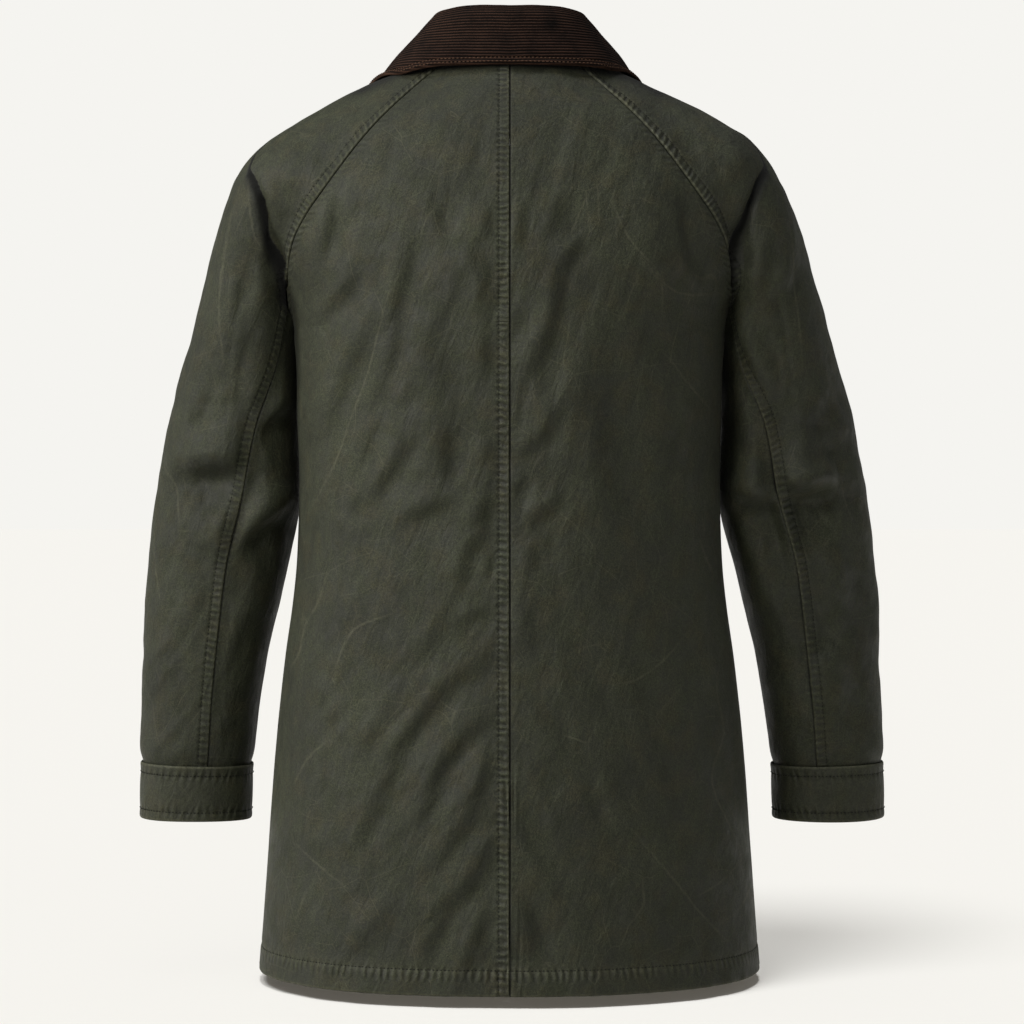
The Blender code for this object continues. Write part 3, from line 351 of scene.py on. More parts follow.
def arm_gap(points, arm):
    """How far outside the arm each point is, measured from the arm's centre line."""
    flat = points[:, [0, 2]]
    offset = flat[:, None, :] - arm["centre"][None, :, :]
    nearest = np.argmin((offset**2).sum(axis=2), axis=1)
    chosen = flat - arm["centre"][nearest]
    along = (chosen * arm["down"][nearest]).sum(axis=1)
    centre, out, half_width, half_depth, centre_y = arm_values(arm, arm["station"][nearest] + along)
    across = ((flat - centre) * out).sum(axis=1)
    fore = points[:, 1] - centre_y
    level = (np.abs(across) / half_width) ** SECTION_POWER + (np.abs(fore) / half_depth) ** SECTION_POWER
    level = np.maximum(level, 1e-6) ** (1 / SECTION_POWER)
    narrowed = np.clip((-centre[:, 1] - SLEEVE_FULL_DROP) / WRIST_NARROWING_RUN, 0, 1) * WRIST_NARROWING
    return np.hypot(across, fore) * (1 - 1 / level) + narrowed


def form_gap(points, arm):
    """The body and the arm joined softly, with the deep fold where the sleeve meets the body."""
    body = torso_gap(points)
    limb = arm_gap(points, arm)
    width = table_value(BLEND, -points[:, 2])
    share = np.clip(0.5 + 0.5 * (limb - body) / width, 0, 1)
    joined = limb * (1 - share) + body * share - width * share * (1 - share)
    drop = -points[:, 2]
    back, front = (fold_sum(HEAD_CREASES[facing], points[:, 0], drop) for facing in (1, -1))
    crease = np.where(points[:, 1] > 0, back, front)
    return joined - crease * np.clip(np.abs(points[:, 1]) / CREASE_FADE, 0, 1)


def panel_gap(points, arm):
    """The form, cut off a little outside the body, so that a body panel never runs into the arm."""
    bulge = table_value(BLEND, -points[:, 2]) / 4 + 0.3
    return np.maximum(form_gap(points, arm), torso_gap(points) - bulge)


def sleeve_gap(points, arm, clearance):
    """The sleeve below the armhole, kept clear of the body."""
    return np.maximum(arm_gap(points, arm), clearance - torso_gap(points))


def first_crossing(starts, directions, gap, reach, samples=90):
    """Where rays first pass through the surface on which the gap is nought."""
    starts = np.asarray(starts, float)
    directions = np.broadcast_to(np.asarray(directions, float), starts.shape)
    count = len(starts)
    distances = np.linspace(RAY_START, reach, samples)
    every = starts[:, None, :] + distances[None, :, None] * directions[:, None, :]
    values = gap(every.reshape(-1, 3)).reshape(count, samples)
    change = (values[:, :-1] < 0) != (values[:, 1:] < 0)
    index = np.argmax(change, axis=1)
    index = np.where(change.any(axis=1), index, samples - 2)
    low, high = distances[index], distances[index + 1]
    began = values[np.arange(count), index] < 0
    for _ in range(14):
        middle = (low + high) / 2
        same = (gap(starts + middle[:, None] * directions) < 0) == began
        low = np.where(same, middle, low)
        high = np.where(same, high, middle)
    return starts + ((low + high) / 2)[:, None] * directions


def neck_line(arm, angles):
    """The neck seam on the form, by the angle round the neck from the centre back."""
    heights = -table_value(NECK, angles)
    turn = np.radians(angles)
    starts = np.stack([np.zeros_like(heights), np.zeros_like(heights), heights], axis=1)
    directions = np.stack([np.sin(turn), np.cos(turn), np.zeros_like(heights)], axis=1)
    return first_crossing(starts, directions, lambda p: form_gap(p, arm), 200)


def station_at_drop(arm, drop):
    """The station of the arm section whose outer point is at the given drop."""
    return np.interp(drop, -arm["outer"][:, 1], arm["station"])


def sleeve_ring(arm, station, turns, clearance):
    """Points round the sleeve at one station, at the given degrees from the outer line."""
    centre, out, _, _, centre_y = arm_values(arm, np.array([station]))
    turns = np.radians(turns)
    directions = np.stack([np.cos(turns) * out[0, 0], np.sin(turns), np.cos(turns) * out[0, 1]], axis=1)
    start = np.array([centre[0, 0], centre_y[0], centre[0, 1]])
    starts = np.repeat(start[None, :], len(turns), axis=0)
    return first_crossing(starts, directions, lambda p: sleeve_gap(p, arm, clearance), 130)


def slope_of(points, gap):
    """The direction and steepness in which the gap grows, at each point."""
    flat = points.reshape(-1, 3)
    slope = np.zeros_like(flat)
    for axis in range(3):
        step = np.zeros(3)
        step[axis] = SLOPE_STEP
        slope[:, axis] = (gap(flat + step) - gap(flat - step)) / (2 * SLOPE_STEP)
    return slope.reshape(points.shape)


def armhole_corner(arm, facing):
    """The armhole's corner, where the sleeve's section meets the body: its station, turn and point."""
    station = station_at_drop(arm, ARMHOLE_STATION_DROP)
    turns = facing * np.linspace(100, 178, 157)
    ring = sleeve_ring(arm, station, turns, -60.0)
    outside = torso_gap(ring) - ARMHOLE_CLEARANCE
    place = np.argmax(outside < 0)
    corner = ring[place : place + 1]
    for _ in range(6):
        slope = slope_of(corner, lambda p: form_gap(p, arm))
        corner = corner - slope * (form_gap(corner, arm) / np.maximum((slope**2).sum(axis=1), 0.04))[:, None]
    return station, turns[place], corner[0]


def raglan_line(arm, facing, corner):
    """The raglan seam from the neck to the armhole's corner, one point to each row."""
    table = BACK_RAGLAN if facing > 0 else FRONT_RAGLAN
    starts = np.column_stack([table[:, 0], np.full(len(table), FAR_OUT * facing), -table[:, 1]])
    found = first_crossing(starts, [0.0, -facing, 0.0], lambda p: form_gap(p, arm), 300, 200)
    neck = neck_line(arm, np.array([RAGLAN_NECK_ANGLE["back" if facing > 0 else "front"]]))
    line = np.vstack([neck, found, corner[None, :]])
    length = running_length(line)
    line = smooth_rows(length, line, np.linspace(0, length[-1], RAGLAN_ROWS + 1))
    inner = line[1:-1] + np.array([0.0, 20.0 * facing, 0.0])
    line[1:-1] = first_crossing(inner, [0.0, -facing, 0.0], lambda p: form_gap(p, arm), 40)
    return line


def armhole_line(back_corner, front_corner):
    """The bottom of the armhole, from the back corner under the arm to the front corner."""
    part = np.linspace(0, 1, 2 * ARMHOLE_ROWS + 1)
    y = back_corner[1] + (front_corner[1] - back_corner[1]) * part
    z = back_corner[2] + (front_corner[2] - back_corner[2]) * part - ARMHOLE_DIP * 4 * part * (1 - part)
    starts = np.column_stack([np.full(len(part), INSIDE), y, z])
    line = first_crossing(starts, [1.0, 0.0, 0.0], torso_gap, 220)
    line[0] = back_corner
    line[-1] = front_corner
    return line


def side_line(underarm):
    """The side seam from the underarm point to the hem."""
    drops = np.linspace(-underarm[2], HEM_DROP, SIDE_ROWS + 1)
    fade = np.linspace(1, 0, 7)
    y = np.full(len(drops), 0.001)
    y[: len(fade)] += underarm[1] * fade
    starts = np.column_stack([np.full(len(drops), INSIDE), y, -drops])
    line = first_crossing(starts, [1.0, 0.0, 0.0], torso_gap, 220)
    line[0] = underarm
    return line


def clearance_at(station, armhole_station):
    """The sleeve's clearance, which grows from the armhole's corner down."""
    part = np.clip((station - armhole_station) / CLEARANCE_RUN, 0, 1)
    return ARMHOLE_CLEARANCE + (ARM_CLEARANCE - ARMHOLE_CLEARANCE) * part


def sleeve_lines(arm, facing, station, turn, corner):
    """A sleeve seam from the armhole's corner to the wrist: its stations, turns and points."""
    full = station_at_drop(arm, SLEEVE_FULL_DROP)
    last = station_at_drop(arm, np.array([SLEEVE_FULL_DROP + 8, SLEEVE_END_DROP]))
    stations = np.concatenate([np.linspace(station, full, SLEEVE_ROWS - 1), last])
    drops = np.interp(stations, arm["station"], -arm["outer"][:, 1]) + INNER_EXTRA_DROP
    turns = facing * table_value(SLEEVE_SEAM, drops)
    turns = turns + (turn - turns[0]) * np.clip(1 - (stations - station) / SEAM_EASE, 0, 1) ** 2
    points = [
        sleeve_ring(arm, one_station, np.array([one_turn]), clearance_at(one_station, station))[0]
        for one_station, one_turn in zip(stations, turns)
    ]
    points[0] = corner
    return stations, turns, np.array(points)


def body_rows(arm, seam, facing, columns):
    """Rows from the centre line to the seams, each of even steps."""
    neck_angle = RAGLAN_NECK_ANGLE["back" if facing > 0 else "front"]
    middle_angle = 0.0 if facing > 0 else 180.0
    angles = np.linspace(middle_angle, neck_angle, 40)
    top = neck_line(arm, angles)
    top[-1] = seam[0]
    rows = [even(top, columns)]
    middle_drop = -top[0, 2]
    reach_down = (-seam[:, 2] - -seam[0, 2]) / (HEM_DROP - -seam[0, 2])
    for index in range(1, len(seam)):
        end = seam[index]
        middle = middle_drop + (HEM_DROP - middle_drop) * reach_down[index]
        middle = middle + (-end[2] - middle) * min(1.0, reach_down[index] * 2.5)
        part = np.linspace(0, 1, 60)
        heights = -middle + (end[2] + middle) * part**2
        end_turn = math.atan2(end[0], end[1] * facing)
        turns = end_turn * part
        starts = np.column_stack([np.zeros(60), np.zeros(60), heights])
        directions = np.column_stack([np.sin(turns), facing * np.cos(turns), np.zeros(60)])
        if index <= RAGLAN_ROWS:
            row = first_crossing(starts, directions, lambda p: panel_gap(p, arm), 300)
        else:
            row = first_crossing(starts, directions, torso_gap, 300)
        row[-1] = end
        rows.append(even(row, columns))
    return np.array(rows)


def dense_places(total, close, step):
    """Places along a length: close ones at the far end, even ones before them."""
    tail = total - np.array(close)[::-1]
    count = max(2, int(round(tail[0] / step)))
    return np.concatenate([np.linspace(0, tail[0], count + 1)[:-1], tail])


def dense_grid(coarse, across_step, down_step, hem=False):
    """A fine smooth grid through a coarse one, with each point's distance from both sides and down it."""
    lengths = [running_length(row) for row in coarse]
    steps = np.array(SEAM_STEPS)
    longest = max(length[-1] for length in lengths) - 2 * steps[-1]
    count = max(4, int(round(longest / across_step)))
    rows, across = [], []
    for row, length in zip(coarse, lengths):
        inside = np.linspace(steps[-1], length[-1] - steps[-1], count + 1)[1:-1]
        at = np.concatenate([steps, inside, length[-1] - steps[::-1]])
        rows.append(smooth_rows(length, row, at))
        across.append(at)
    rows, across = np.array(rows), np.array(across)
    keys = np.concatenate([[0], np.cumsum(np.linalg.norm(np.diff(rows, axis=0), axis=2).mean(axis=1))])
    at = dense_places(keys[-1], HEM_STEPS if hem else (0.0, 1.0), down_step)
    fine = smooth_rows(keys, rows.reshape(len(rows), -1), at).reshape(len(at), -1, 3)
    across = smooth_rows(keys, across, at)
    ends = running_length_rows(fine)
    return fine, across, ends - across, np.broadcast_to(at[:, None], across.shape)


def running_length_rows(grid):
    """The whole length of each row, as one column."""
    return np.linalg.norm(np.diff(grid, axis=1), axis=2).sum(axis=1)[:, None]


def fine_line(points, step=0.3):
    """A smooth line through points, finely stepped."""
    length = running_length(points)
    return smooth_rows(length, points, np.arange(0, length[-1] + step, step))


def snapped(grid, away, line, column):
    """The grid with one border laid exactly on a seam line, and the columns beside it eased after it."""
    border = grid[:, column]
    nearest = np.argmin(((border[:, None] - line[None]) ** 2).sum(axis=2), axis=1)
    shift = line[nearest] - border
    ease = np.clip(1 - away / SHIFT_RUN, 0, 1)
    ease = ease * ease * (3 - 2 * ease)
    return grid + shift[:, None, :] * ease[:, :, None]


VIEWED_FROM = 2300.0  # the folds' places are given as seen from this far behind the middle of the jacket
VIEWED_LEVEL = 412.0
FAR = 60.0  # as far from a line or a crease as matters
# half width and height of each fold, then across and drop of the points along it. It swells up on the left of
# its line and falls away on the right.
BACK_FOLDS = (
    (13, 0.8, -76, 222, -83, 336, -112, 451), (11, 0.7, 70, 243, 63, 336, 67, 394),
    (9, 0.7, -141, 115, -151, 172, -148, 222), (10, 0.6, -33, 480, -55, 551, -91, 615),
    (4, 1, 165, 119, 168, 150, 175, 181), (4, 0.5, 142, 109, 145, 144), (5, 0.5, 74, 116, 58, 159),
    (6, 0.8, 37, 159, 23, 196, 21, 227), (5, 0.5, 21, 128, 18, 159),
    (5, 0.8, 89, 147, 96, 184, 105, 227, 111, 274, 130, 320), (5, 0.9, 136, 187, 158, 212, 179, 243),
    (6, 1.1, 122, 224, 147, 277, 170, 330, 181, 379), (5, 0.6, 21, 246, 21, 289), (5, 0.5, 85, 289, 102, 314),
    (5, 0.9, 89, 339, 111, 376, 136, 407), (5, 0.8, 57, 333, 60, 379), (5, 0.5, 18, 345, 21, 367),
    (5, 0.7, 46, 398, 74, 409, 102, 422), (5, 0.9, 21, 398, 27, 426), (4, 0.4, 158, 413, 133, 426),
    (6, 0.5, -50, 116, -40, 159), (4, 0.8, -70, 159, -49, 184),
    (5.5, 1.2, -48, 184, -44, 221, -33, 258, -19, 286), (4, 1, -157, 116, -161, 150, -169, 184, -180, 196),
    (4, 0.5, -13, 125, -10, 165), (4, 0.4, -13, 221, -6, 246), (4.5, 0.8, -50, 308, -34, 339, -10, 360),
    (9, 0.7, -90, 289, -84, 320, -84, 360), (4.5, 0.8, -50, 398, -19, 422), (6, 0.6, -146, 339, -151, 376),
    (4, 0.5, -19, 379, -3, 395), (8, 0.5, -96, 376, -99, 413), (5, 0.3, -130, 258, -152, 277),
    (5, 0.9, 18, 426, 37, 450, 46, 478), (4, 0.5, 20, 447, 18, 472),
    (5, 0.5, 49, 497, 65, 522, 80, 543, 102, 565), (4, 0.6, 18, 503, 49, 516),
    (5.5, 1.1, 15, 550, 30, 559, 52, 571, 80, 602, 99, 630, 114, 667, 130, 698, 142, 729),
    (5, 0.5, 99, 568, 120, 605, 142, 649), (5, 1, 18, 602, 43, 624, 65, 652, 77, 692, 83, 714),
    (4.5, 0.9, 18, 633, 21, 649, 35, 680), (5, 0.8, 21, 667, 37, 698, 58, 729, 77, 751),
    (5.5, 1.2, 15, 711, 24, 739, 49, 773, 71, 794), (5.5, 0.9, 58, 791, 80, 826),
    (5, 1.1, 21, 782, 30, 807, 43, 850), (5, 0.6, 96, 776, 145, 822), (3.5, 0.5, 18, 810, 24, 832),
    (4, 0.6, -22, 438, -22, 469), (6, 0.7, -16, 497, -19, 522, -25, 543),
    (5.5, 0.6, -6, 571, -28, 599, -50, 624, -68, 636), (6, 0.6, -22, 649, -37, 680),
    (5, 0.7, -6, 686, -19, 723, -37, 748, -50, 760), (5, 0.9, -6, 764, -19, 791, -22, 826),
    (7, 0.5, -146, 711, -174, 754), (6, 0.5, -186, 776, -211, 801), (6, 0.3, -65, 791, -78, 810),
)
# the lines where a crease has been rubbed pale, as across and drop of the points along each
BACK_WORN = (
    (100, 187, 111, 209, 122, 246, 133, 283, 148, 323, 164, 370, 186, 413),
    (170, 466, 176, 491, 189, 516, 198, 550, 204, 559), (170, 624, 189, 643, 201, 667),
    (204, 717, 173, 745, 148, 764), (189, 764, 198, 791), (164, 562, 145, 522, 108, 506),
    (-93, 119, -112, 159, -140, 196, -143, 233), (-143, 261, -171, 298, -189, 320), (-75, 112, -56, 156),
    (-118, 178, -161, 209, -199, 209), (-93, 573, -118, 568, -140, 553, -168, 522), (-177, 438, -189, 469),
    (-196, 543, -192, 581, -199, 618, -189, 661, -202, 698, -217, 729),
    (-112, 705, -134, 732, -158, 760, -180, 788, -205, 813), (-217, 732, -199, 754, -174, 770),
    (-47, 618, -72, 627), (-211, 788, -230, 748),
)


def along_line(numbers, across, drop, reach):
    """Where points lie by a line: how far to its right, at what share of it, and how far past its ends."""
    step = 3.0
    points = fine_line(np.array(numbers, float).reshape(-1, 2), step)
    tangent = np.gradient(points, axis=0)
    tangent /= np.linalg.norm(tangent, axis=1)[:, None]
    low, high = points.min(axis=0) - reach, points.max(axis=0) + reach
    near = np.nonzero((across > low[0]) & (across < high[0]) & (drop > low[1]) & (drop < high[1]))
    places = np.stack([across[near], drop[near]], axis=1)
    nearest = np.argmin(((places[:, None] - points[None]) ** 2).sum(axis=2), axis=1)
    offset = places - points[nearest]
    direction = tangent[nearest]
    right = offset[:, 1] * direction[:, 0] - offset[:, 0] * direction[:, 1]
    onward = (offset * direction).sum(axis=1)
    last = len(points) - 1
    past = np.where(nearest == 0, -onward, np.where(nearest == last, onward, 0))
    return near, right, np.clip((nearest + onward / step) / last, 0, 1), np.clip(past, 0, None)


def folded(table, across, drop):
    """The folds' height: each swells before its line and sinks after it, and dies away at its ends."""
    total = np.zeros_like(across)
    for half_width, height, *numbers in table:
        near, right, part, past = along_line(numbers, across, drop, 7.0 * half_width)
        level = 0.0
        for width, share in ((1.35 * half_width, 0.75), (2.6 * half_width, 0.85)):
            level = level - share * (right / width) * np.exp((1 - (right / width) ** 2) / 2)
        taper = (1 - (2 * part - 1) ** 2) ** 0.8 * 0.85 + 0.15
        total[near] += height * level * taper * np.exp(-((past / (2.5 * half_width)) ** 2))
    return total


def worn_lines(table, across, drop):
    """The distance to the nearest rubbed line, by side, and how strong the line is there."""
    nearest, strength = np.full(across.shape, FAR), np.zeros(across.shape)
    for numbers in table:
        near, right, part, past = along_line(numbers, across, drop, 12.0)
        distance = np.sqrt(right**2 + past**2) * np.where(right < 0, -1, 1)
        closer = np.abs(distance) < np.abs(nearest[near])
        chosen = tuple(axis[closer] for axis in near)
        nearest[chosen] = distance[closer]
        strength[chosen] = (1 - (2 * part[closer] - 1) ** 4) * (past[closer] == 0)
    return np.stack([nearest, strength, np.zeros_like(nearest)], axis=2)


def seen_places(grid, side):
    """Each point's place across and down as seen from behind, or from the front for points at the front."""
    nearer = VIEWED_FROM / (VIEWED_FROM - np.abs(grid[:, :, 1]))
    drop = VIEWED_LEVEL + (-grid[:, :, 2] - VIEWED_LEVEL) * nearer
    return grid[:, :, 0] * side * nearer, drop


def uneven(grid, side, size, seed):
    """Soft unevenness from -1 to 1, the same at the same place whichever panel it is on."""
    points = grid.reshape(-1, 3) * np.array([side, 1, 1]) / size + seed
    values = np.array([noise.noise(Vector(point)) for point in points])
    return values.reshape(grid.shape[:2])


# How far the fine folds lean: the drop, then across for each step down, on the left and the right of the back
LEAN = (
    (0, 0.15, 0.25), (200, 0.30, 0.40), (330, 0.36, 0.15),
    (470, 0.55, 0.0), (600, 0.95, -0.25), (834, 0.9, -0.5),
)


def streaks(across, drop, short, long, seed):
    """Fine sharp-backed folds from -1 to 1, drawn out along the way the cloth hangs."""
    levels, left, right = (np.array(column, float) for column in zip(*LEAN))
    fine = np.arange(-60, 900, 2.0)
    leant = []
    for lean in (left, right):
        leant.append(np.interp(drop, fine, np.cumsum(np.interp(fine, levels, lean)) * 2.0))
    share = stepped(across, -12, 12)
    place = across - leant[1] * (1 - share) - leant[0] * share
    points = np.stack([place / short, drop / long, across / 260 + seed], axis=2).reshape(-1, 3)
    values = np.array([noise.noise(Vector(point)) for point in points]).reshape(across.shape)
    return np.sign(values) * np.abs(values * 1.6) ** 1.15 + 0.5 * (0.3 - np.abs(values))


def stepped(value, low, high):
    """A smooth rise from 0 at low to 1 at high."""
    part = np.clip((value - low) / (high - low), 0, 1)
    return part * part * (3 - 2 * part)


# How far the cloth rises, by the distance from its edge: a felled band, the layer it lies on, and the hem
BAND = (
    (0, -0.6), (0.4, 0.4), (1.0, 0.85), (1.8, 0.95), (3, 0.8), (4.8, 0.65), (6.6, 0.5), (8.2, 0.2),
    (9.2, -0.3), (9.8, -0.2), (10.6, 0.1), (12, 0.12), (14, 0.0),
)
BESIDE = ((0, -1.3), (0.4, -1.2), (1.0, -0.5), (1.8, 0.0))
HEM = (
    (0, -0.5), (0.5, 0.35), (1.3, 0.75), (2.8, 0.8), (6, 0.65), (16.5, 0.6), (20, 0.45), (21.6, 0.0),
    (22.6, -0.35), (24, -0.05), (26.5, 0.1), (34, 0.0),
)
STITCH_COLUMN = 8  # of SEAM_STEPS, where the row of stitches lies
SEAM_STITCH, HEM_STITCH = 9.2, 22.6  # how far the rows of stitches are from the seam and the hem
PUCKER_MIDDLE = 3.4  # puckers are deepest this far inside the row of stitches
PUCKER_REACH = 5.2


# The hollow at each sleeve's head is filled out again by this much, with only a narrow crease left in it.
HEAD_FILL = ((229, 100, 203, 205, 0, 17, 6.0, 2),)


def filled(grid):
    """The grid with the hollows at the sleeve's head filled, behind and before."""
    fill = fold_sum(HEAD_FILL, grid[:, :, 0], -grid[:, :, 2]) * stepped(np.abs(grid[:, :, 1]), 0, 30)
    return grid + (fill * np.sign(grid[:, :, 1]))[:, :, None] * np.array([0, 1, 0])


def painted_collar_shadow(across, drop, facing_back):
    """Painted shadow just under the line of the collar's edge as seen from behind: how dark the cloth is
    drawn there.
    """
    below = drop - (-4.6 + 18.6 * np.clip(np.abs(across) / 125, 0, 1.1) ** 3.2)
    return 0.85 * np.exp(-((np.clip(below, 0, None) / 4.5) ** 2)) * facing_back


# The line of the sharp crease where each sleeve's own cloth folds under the arm, as seen from behind; the
# crease's shade is painted along it
CREASE_LINES = {
    1: ((242, 92), (238.5, 100), (230, 122), (221, 159), (210.6, 192), (204, 215), (200, 262)),
    -1: ((-237, 90), (-234, 98.5), (-220, 130), (-209, 157), (-203, 195), (-198, 236), (-195, 280)),
}


def beyond_crease(side, across, drop):
    """How far outboard of the crease each place is, with the distance growing past its upper end too."""
    levels = np.array([point[1] for point in CREASE_LINES[side]])
    lines_at = np.array([abs(point[0]) for point in CREASE_LINES[side]])
    away = np.abs(across) - np.interp(drop, levels, lines_at)
    past = np.clip(levels[0] - drop, 0, None) * 1.3
    return np.where(away < 0, -1, 1) * np.minimum(np.sqrt(away**2 + past**2), FAR)


def read_steps(table, distance):
    """A rise read from a table of distances and rises."""
    keys, values = zip(*table)
    return np.interp(distance, keys, values)


def orientation(grid, outward):
    """Unit normals of the grid, turned to the side that the outward directions point to."""
    normal = np.cross(np.gradient(grid, axis=0), np.gradient(grid, axis=1))
    normal /= np.maximum(np.linalg.norm(normal, axis=2), 1e-9)[:, :, None]
    return normal * np.sign((normal * outward).sum())


def cloth_mesh(name, outer, inner, material, marks):
    """A closed wall of cloth between two grids in millimetres, with its marks kept as attributes."""
    rows, columns = outer.shape[:2]
    below = rows * columns
    index = np.arange(below).reshape(rows, columns)
    a, b, c, d = index[:-1, :-1], index[:-1, 1:], index[1:, 1:], index[1:, :-1]
    faces = [np.stack([a, b, c, d], axis=2).reshape(-1, 4)]
    faces.append(faces[0][:, ::-1] + below)
    for first, second in (
        (index[0, 1:], index[0, :-1]), (index[-1, :-1], index[-1, 1:]),
        (index[:-1, 0], index[1:, 0]), (index[1:, -1], index[:-1, -1]),
    ):
        faces.append(np.stack([first, second, second + below, first + below], axis=1))
    points = np.concatenate([outer.reshape(-1, 3), inner.reshape(-1, 3)]) * MM
    marks = {mark: np.concatenate([values, values]) for mark, values in marks.items()}
    return mesh_object(name, points, np.concatenate(faces), material, marks)


def mesh_object(name, points, faces, material, marks=None):
    """An object at the origin with its faces outward, smooth, and one attribute for each mark."""
    corners = points[faces]
    volume = 0.0
    for second in range(1, faces.shape[1] - 1):
        volume += np.einsum("ij,ij->", corners[:, 0], np.cross(corners[:, second], corners[:, second + 1]))
    if volume < 0:
        faces = faces[:, ::-1]
    mesh = bpy.data.meshes.new(name)
    mesh.from_pydata(points.tolist(), [], faces.tolist())
    mesh.polygons.foreach_set("use_smooth", np.ones(len(faces), bool))
    for mark, values in (marks or {}).items():
        held = mesh.attributes.new(mark, "FLOAT_VECTOR", "POINT")
        held.data.foreach_set("vector", np.asarray(values, np.float32).reshape(-1))
    mesh.materials.append(material)
    mesh.update()
    made = bpy.data.objects.new(name, mesh)
    scene.collection.objects.link(made)
    return made


def mirrored(grid, side):
    """The grid as it is for the left side, or turned over for the right."""
    return grid * np.array([side, 1, 1])


def side_lines(side):
    """Every seam line of one side of the jacket, with one point to each row and as finely stepped edges."""
    arm = arm_of(side)
    lines = {"arm": arm, "side": side}
    station, back_turn, back_corner = armhole_corner(arm, 1)
    _, front_turn, front_corner = armhole_corner(arm, -1)
    armhole = armhole_line(back_corner, front_corner)
    side_seam = side_line(armhole[ARMHOLE_ROWS])
    armhole_edge, side_edge = fine_line(armhole), fine_line(side_seam)
    lowest = np.argmin(((armhole_edge - armhole[ARMHOLE_ROWS]) ** 2).sum(axis=1))
    lines["armhole"], lines["armhole_edge"] = armhole, armhole_edge
    for facing, turn, corner in ((1, back_turn, back_corner), (-1, front_turn, front_corner)):
        raglan = raglan_line(arm, facing, corner)
        half = armhole if facing > 0 else armhole[::-1]
        half_edge = armhole_edge[: lowest + 1] if facing > 0 else armhole_edge[lowest:][::-1]
        sleeve = sleeve_lines(arm, facing, station, turn, corner)
        lines[facing] = {
            "raglan": raglan,
            "sleeve": sleeve,
            "sleeve_edge": fine_line(sleeve[2]),
            "body": np.vstack([raglan, half[1:ARMHOLE_ROWS], side_seam]),
            "body_edge": np.vstack([fine_line(raglan), half_edge, side_edge]),
            "sleeve_side_edge": np.vstack([fine_line(raglan), fine_line(sleeve[2])]),
        }
    return lines


def puckered(down, from_seam, offset=SEAM_STITCH, strength=1.0):
    """Where a row of stitches draws the cloth up: the place along it and across it, and how strongly."""
    away = from_seam - offset
    return np.stack([down, away, strength * np.exp(-(((away + PUCKER_MIDDLE) / PUCKER_REACH) ** 4))], axis=2)


def unevenness(grid, side, layers):
    """Several sizes of soft unevenness in one, each with its height, its size and its seed."""
    return sum(height * uneven(grid, side, size, seed) for height, size, seed in layers)


def cloth_walls(grid, base, rise, bands):
    """The outer and inner faces of a panel raised by its folds, with its seams' bands on the outer face."""
    risen = grid + base * rise[:, :, None]
    normal = orientation(risen, base)
    return risen + normal * bands[:, :, None], risen - normal * CLOTH, normal


BODY_COLUMNS = 14
FRONT_HIGHER = 11.0  # the folds of the front are the back's, this much higher up
FLY_CLEAR = (34, 70)  # the front's folds begin this far from its middle


